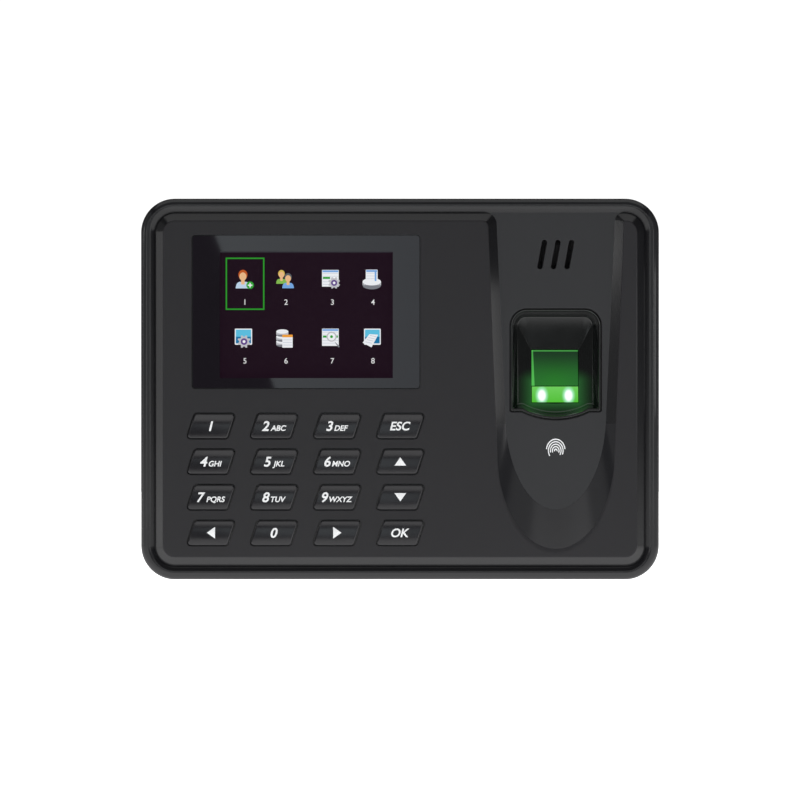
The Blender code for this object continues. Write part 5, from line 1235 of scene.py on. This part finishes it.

# %% Gloss and painted green glow of the well
bezel_gloss = Finish("bezel_gloss", roughness=0.09)
bezel_gloss.set(roughness=0.10 + 0.06 * bezel_gloss.noise(160, 2))
cloud = bezel_gloss.noise(40)
bezel_gloss.set(base_color=bezel_gloss.mix(cloud, (0.004, 0.005, 0.005), (0.007, 0.008, 0.008)))
x, y, z = bezel_gloss.axes()
# Painted glow: near the glass the well's walls glow green by themselves, standing for the sensor's light
# falling on them.
aside = x.maths("MAXIMUM", abs(x - CHANNEL_X) - 7.5 * MM, 0.0) / (7.0 * MM)
below = x.maths("MAXIMUM", abs(z + 1.0 * MM) - 3.5 * MM, 0.0) / (5.5 * MM)
near = x.maths("MAXIMUM", 1 - (aside**2 + below**2) ** 0.5, 0.0)
deep = -1 * y < VALLEY - 1.0 * MM
bezel_gloss.set(emission_color=bezel_gloss.mix(near**2 * deep, (0, 0, 0), (0.016, 0.110, 0.022)))
bezel_gloss.set(emission_strength=1.0)
bezel_gloss.onto(sensor_well)
print("well gloss is green near the glass only")

# %% [markdown]
# ## Inside and behind
# The pieces that are hidden or seen only from the back still need their own finish: laminate with copper
# tracks, moulded chips, plated steel, brushed plate, silicone, foam and paper. Most are one of two recipes:
# a speckled matt solid, or a metal whose streaks run one way.

# %% Finishes of the inner pieces
def matt(name, dark, light, scale, roughness=0.55, rise=0.01):
    finish = Finish(name, roughness=roughness)
    spots = finish.noise(scale, 3, 0.6)
    finish.set(base_color=finish.mix(spots, dark, light), roughness=roughness - 0.08 + 0.16 * spots)
    finish.bump(spots, rise * MM, 0.4)
    return finish


def metal(name, dark, light, stretch, roughness=0.3):
    finish = Finish(name, metallic=1.0, roughness=roughness)
    streaks = finish.noise(1, 4, 0.6, stretch)
    finish.set(base_color=finish.mix(streaks, dark, light), roughness=roughness - 0.08 + 0.2 * streaks)
    finish.bump(streaks, 0.004 * MM, 0.3)
    return finish


board = Finish("board_laminate", roughness=0.35)
x, y, z = board.axes()
tracks = board.node("ShaderNodeTexWave", {"bands_direction": "X"}, {
    "Vector": board.place, "Scale": 260.0, "Distortion": 14.0, "Detail": 1.0, "Detail Scale": 1.6,
})
copper = board.rise(tracks, 0.62, 0.70)
board.set(base_color=board.mix(copper, (0.006, 0.075, 0.028), (0.020, 0.150, 0.050)))
board.bump(copper, 0.02 * MM, 0.5)

FINISHES = {
    "silicone": matt("silicone_grey", (0.030, 0.030, 0.034), (0.045, 0.045, 0.050), 500, 0.6),
    "board_laminate": board,
    "chip_black": matt("chip_black", (0.008, 0.008, 0.009), (0.018, 0.018, 0.019), 1500, 0.5),
    "white_plastic": matt("white_plastic", (0.62, 0.60, 0.54), (0.74, 0.72, 0.66), 300, 0.4),
    "led_lens": matt("led_lens", (0.75, 0.80, 0.72), (0.90, 0.93, 0.88), 400, 0.2),
    "ribbon_film": matt("ribbon_film", (0.36, 0.15, 0.030), (0.48, 0.22, 0.050), 240, 0.35),
    "plate_steel": metal("plate_steel", (0.22, 0.23, 0.24), (0.36, 0.37, 0.38), (40, 40, 900)),
    "screw_steel": metal("screw_steel", (0.50, 0.50, 0.51), (0.72, 0.72, 0.73), (700, 700, 700), 0.25),
    "tin_plate": metal("tin_plate", (0.55, 0.55, 0.54), (0.76, 0.76, 0.74), (120, 500, 120), 0.32),
    "cone_paper": matt("cone_paper", (0.010, 0.010, 0.011), (0.028, 0.028, 0.030), 900, 0.8, 0.03),
    "gasket_foam": matt("gasket_foam", (0.012, 0.012, 0.013), (0.030, 0.030, 0.032), 1600, 0.9, 0.05),
    "wire_sleeve": matt("wire_sleeve", (0.36, 0.020, 0.016), (0.48, 0.035, 0.028), 600, 0.35),
}
record_slots = {part["node"]: part["material_slot"] for part in frame["record"]["subparts"]}
for name, node in frame["nodes"].items():
    slot = record_slots.get(name)
    if slot in FINISHES:
        FINISHES[slot].onto(node)
print("finished", sum(slot in FINISHES for slot in record_slots.values()), "inner nodes")
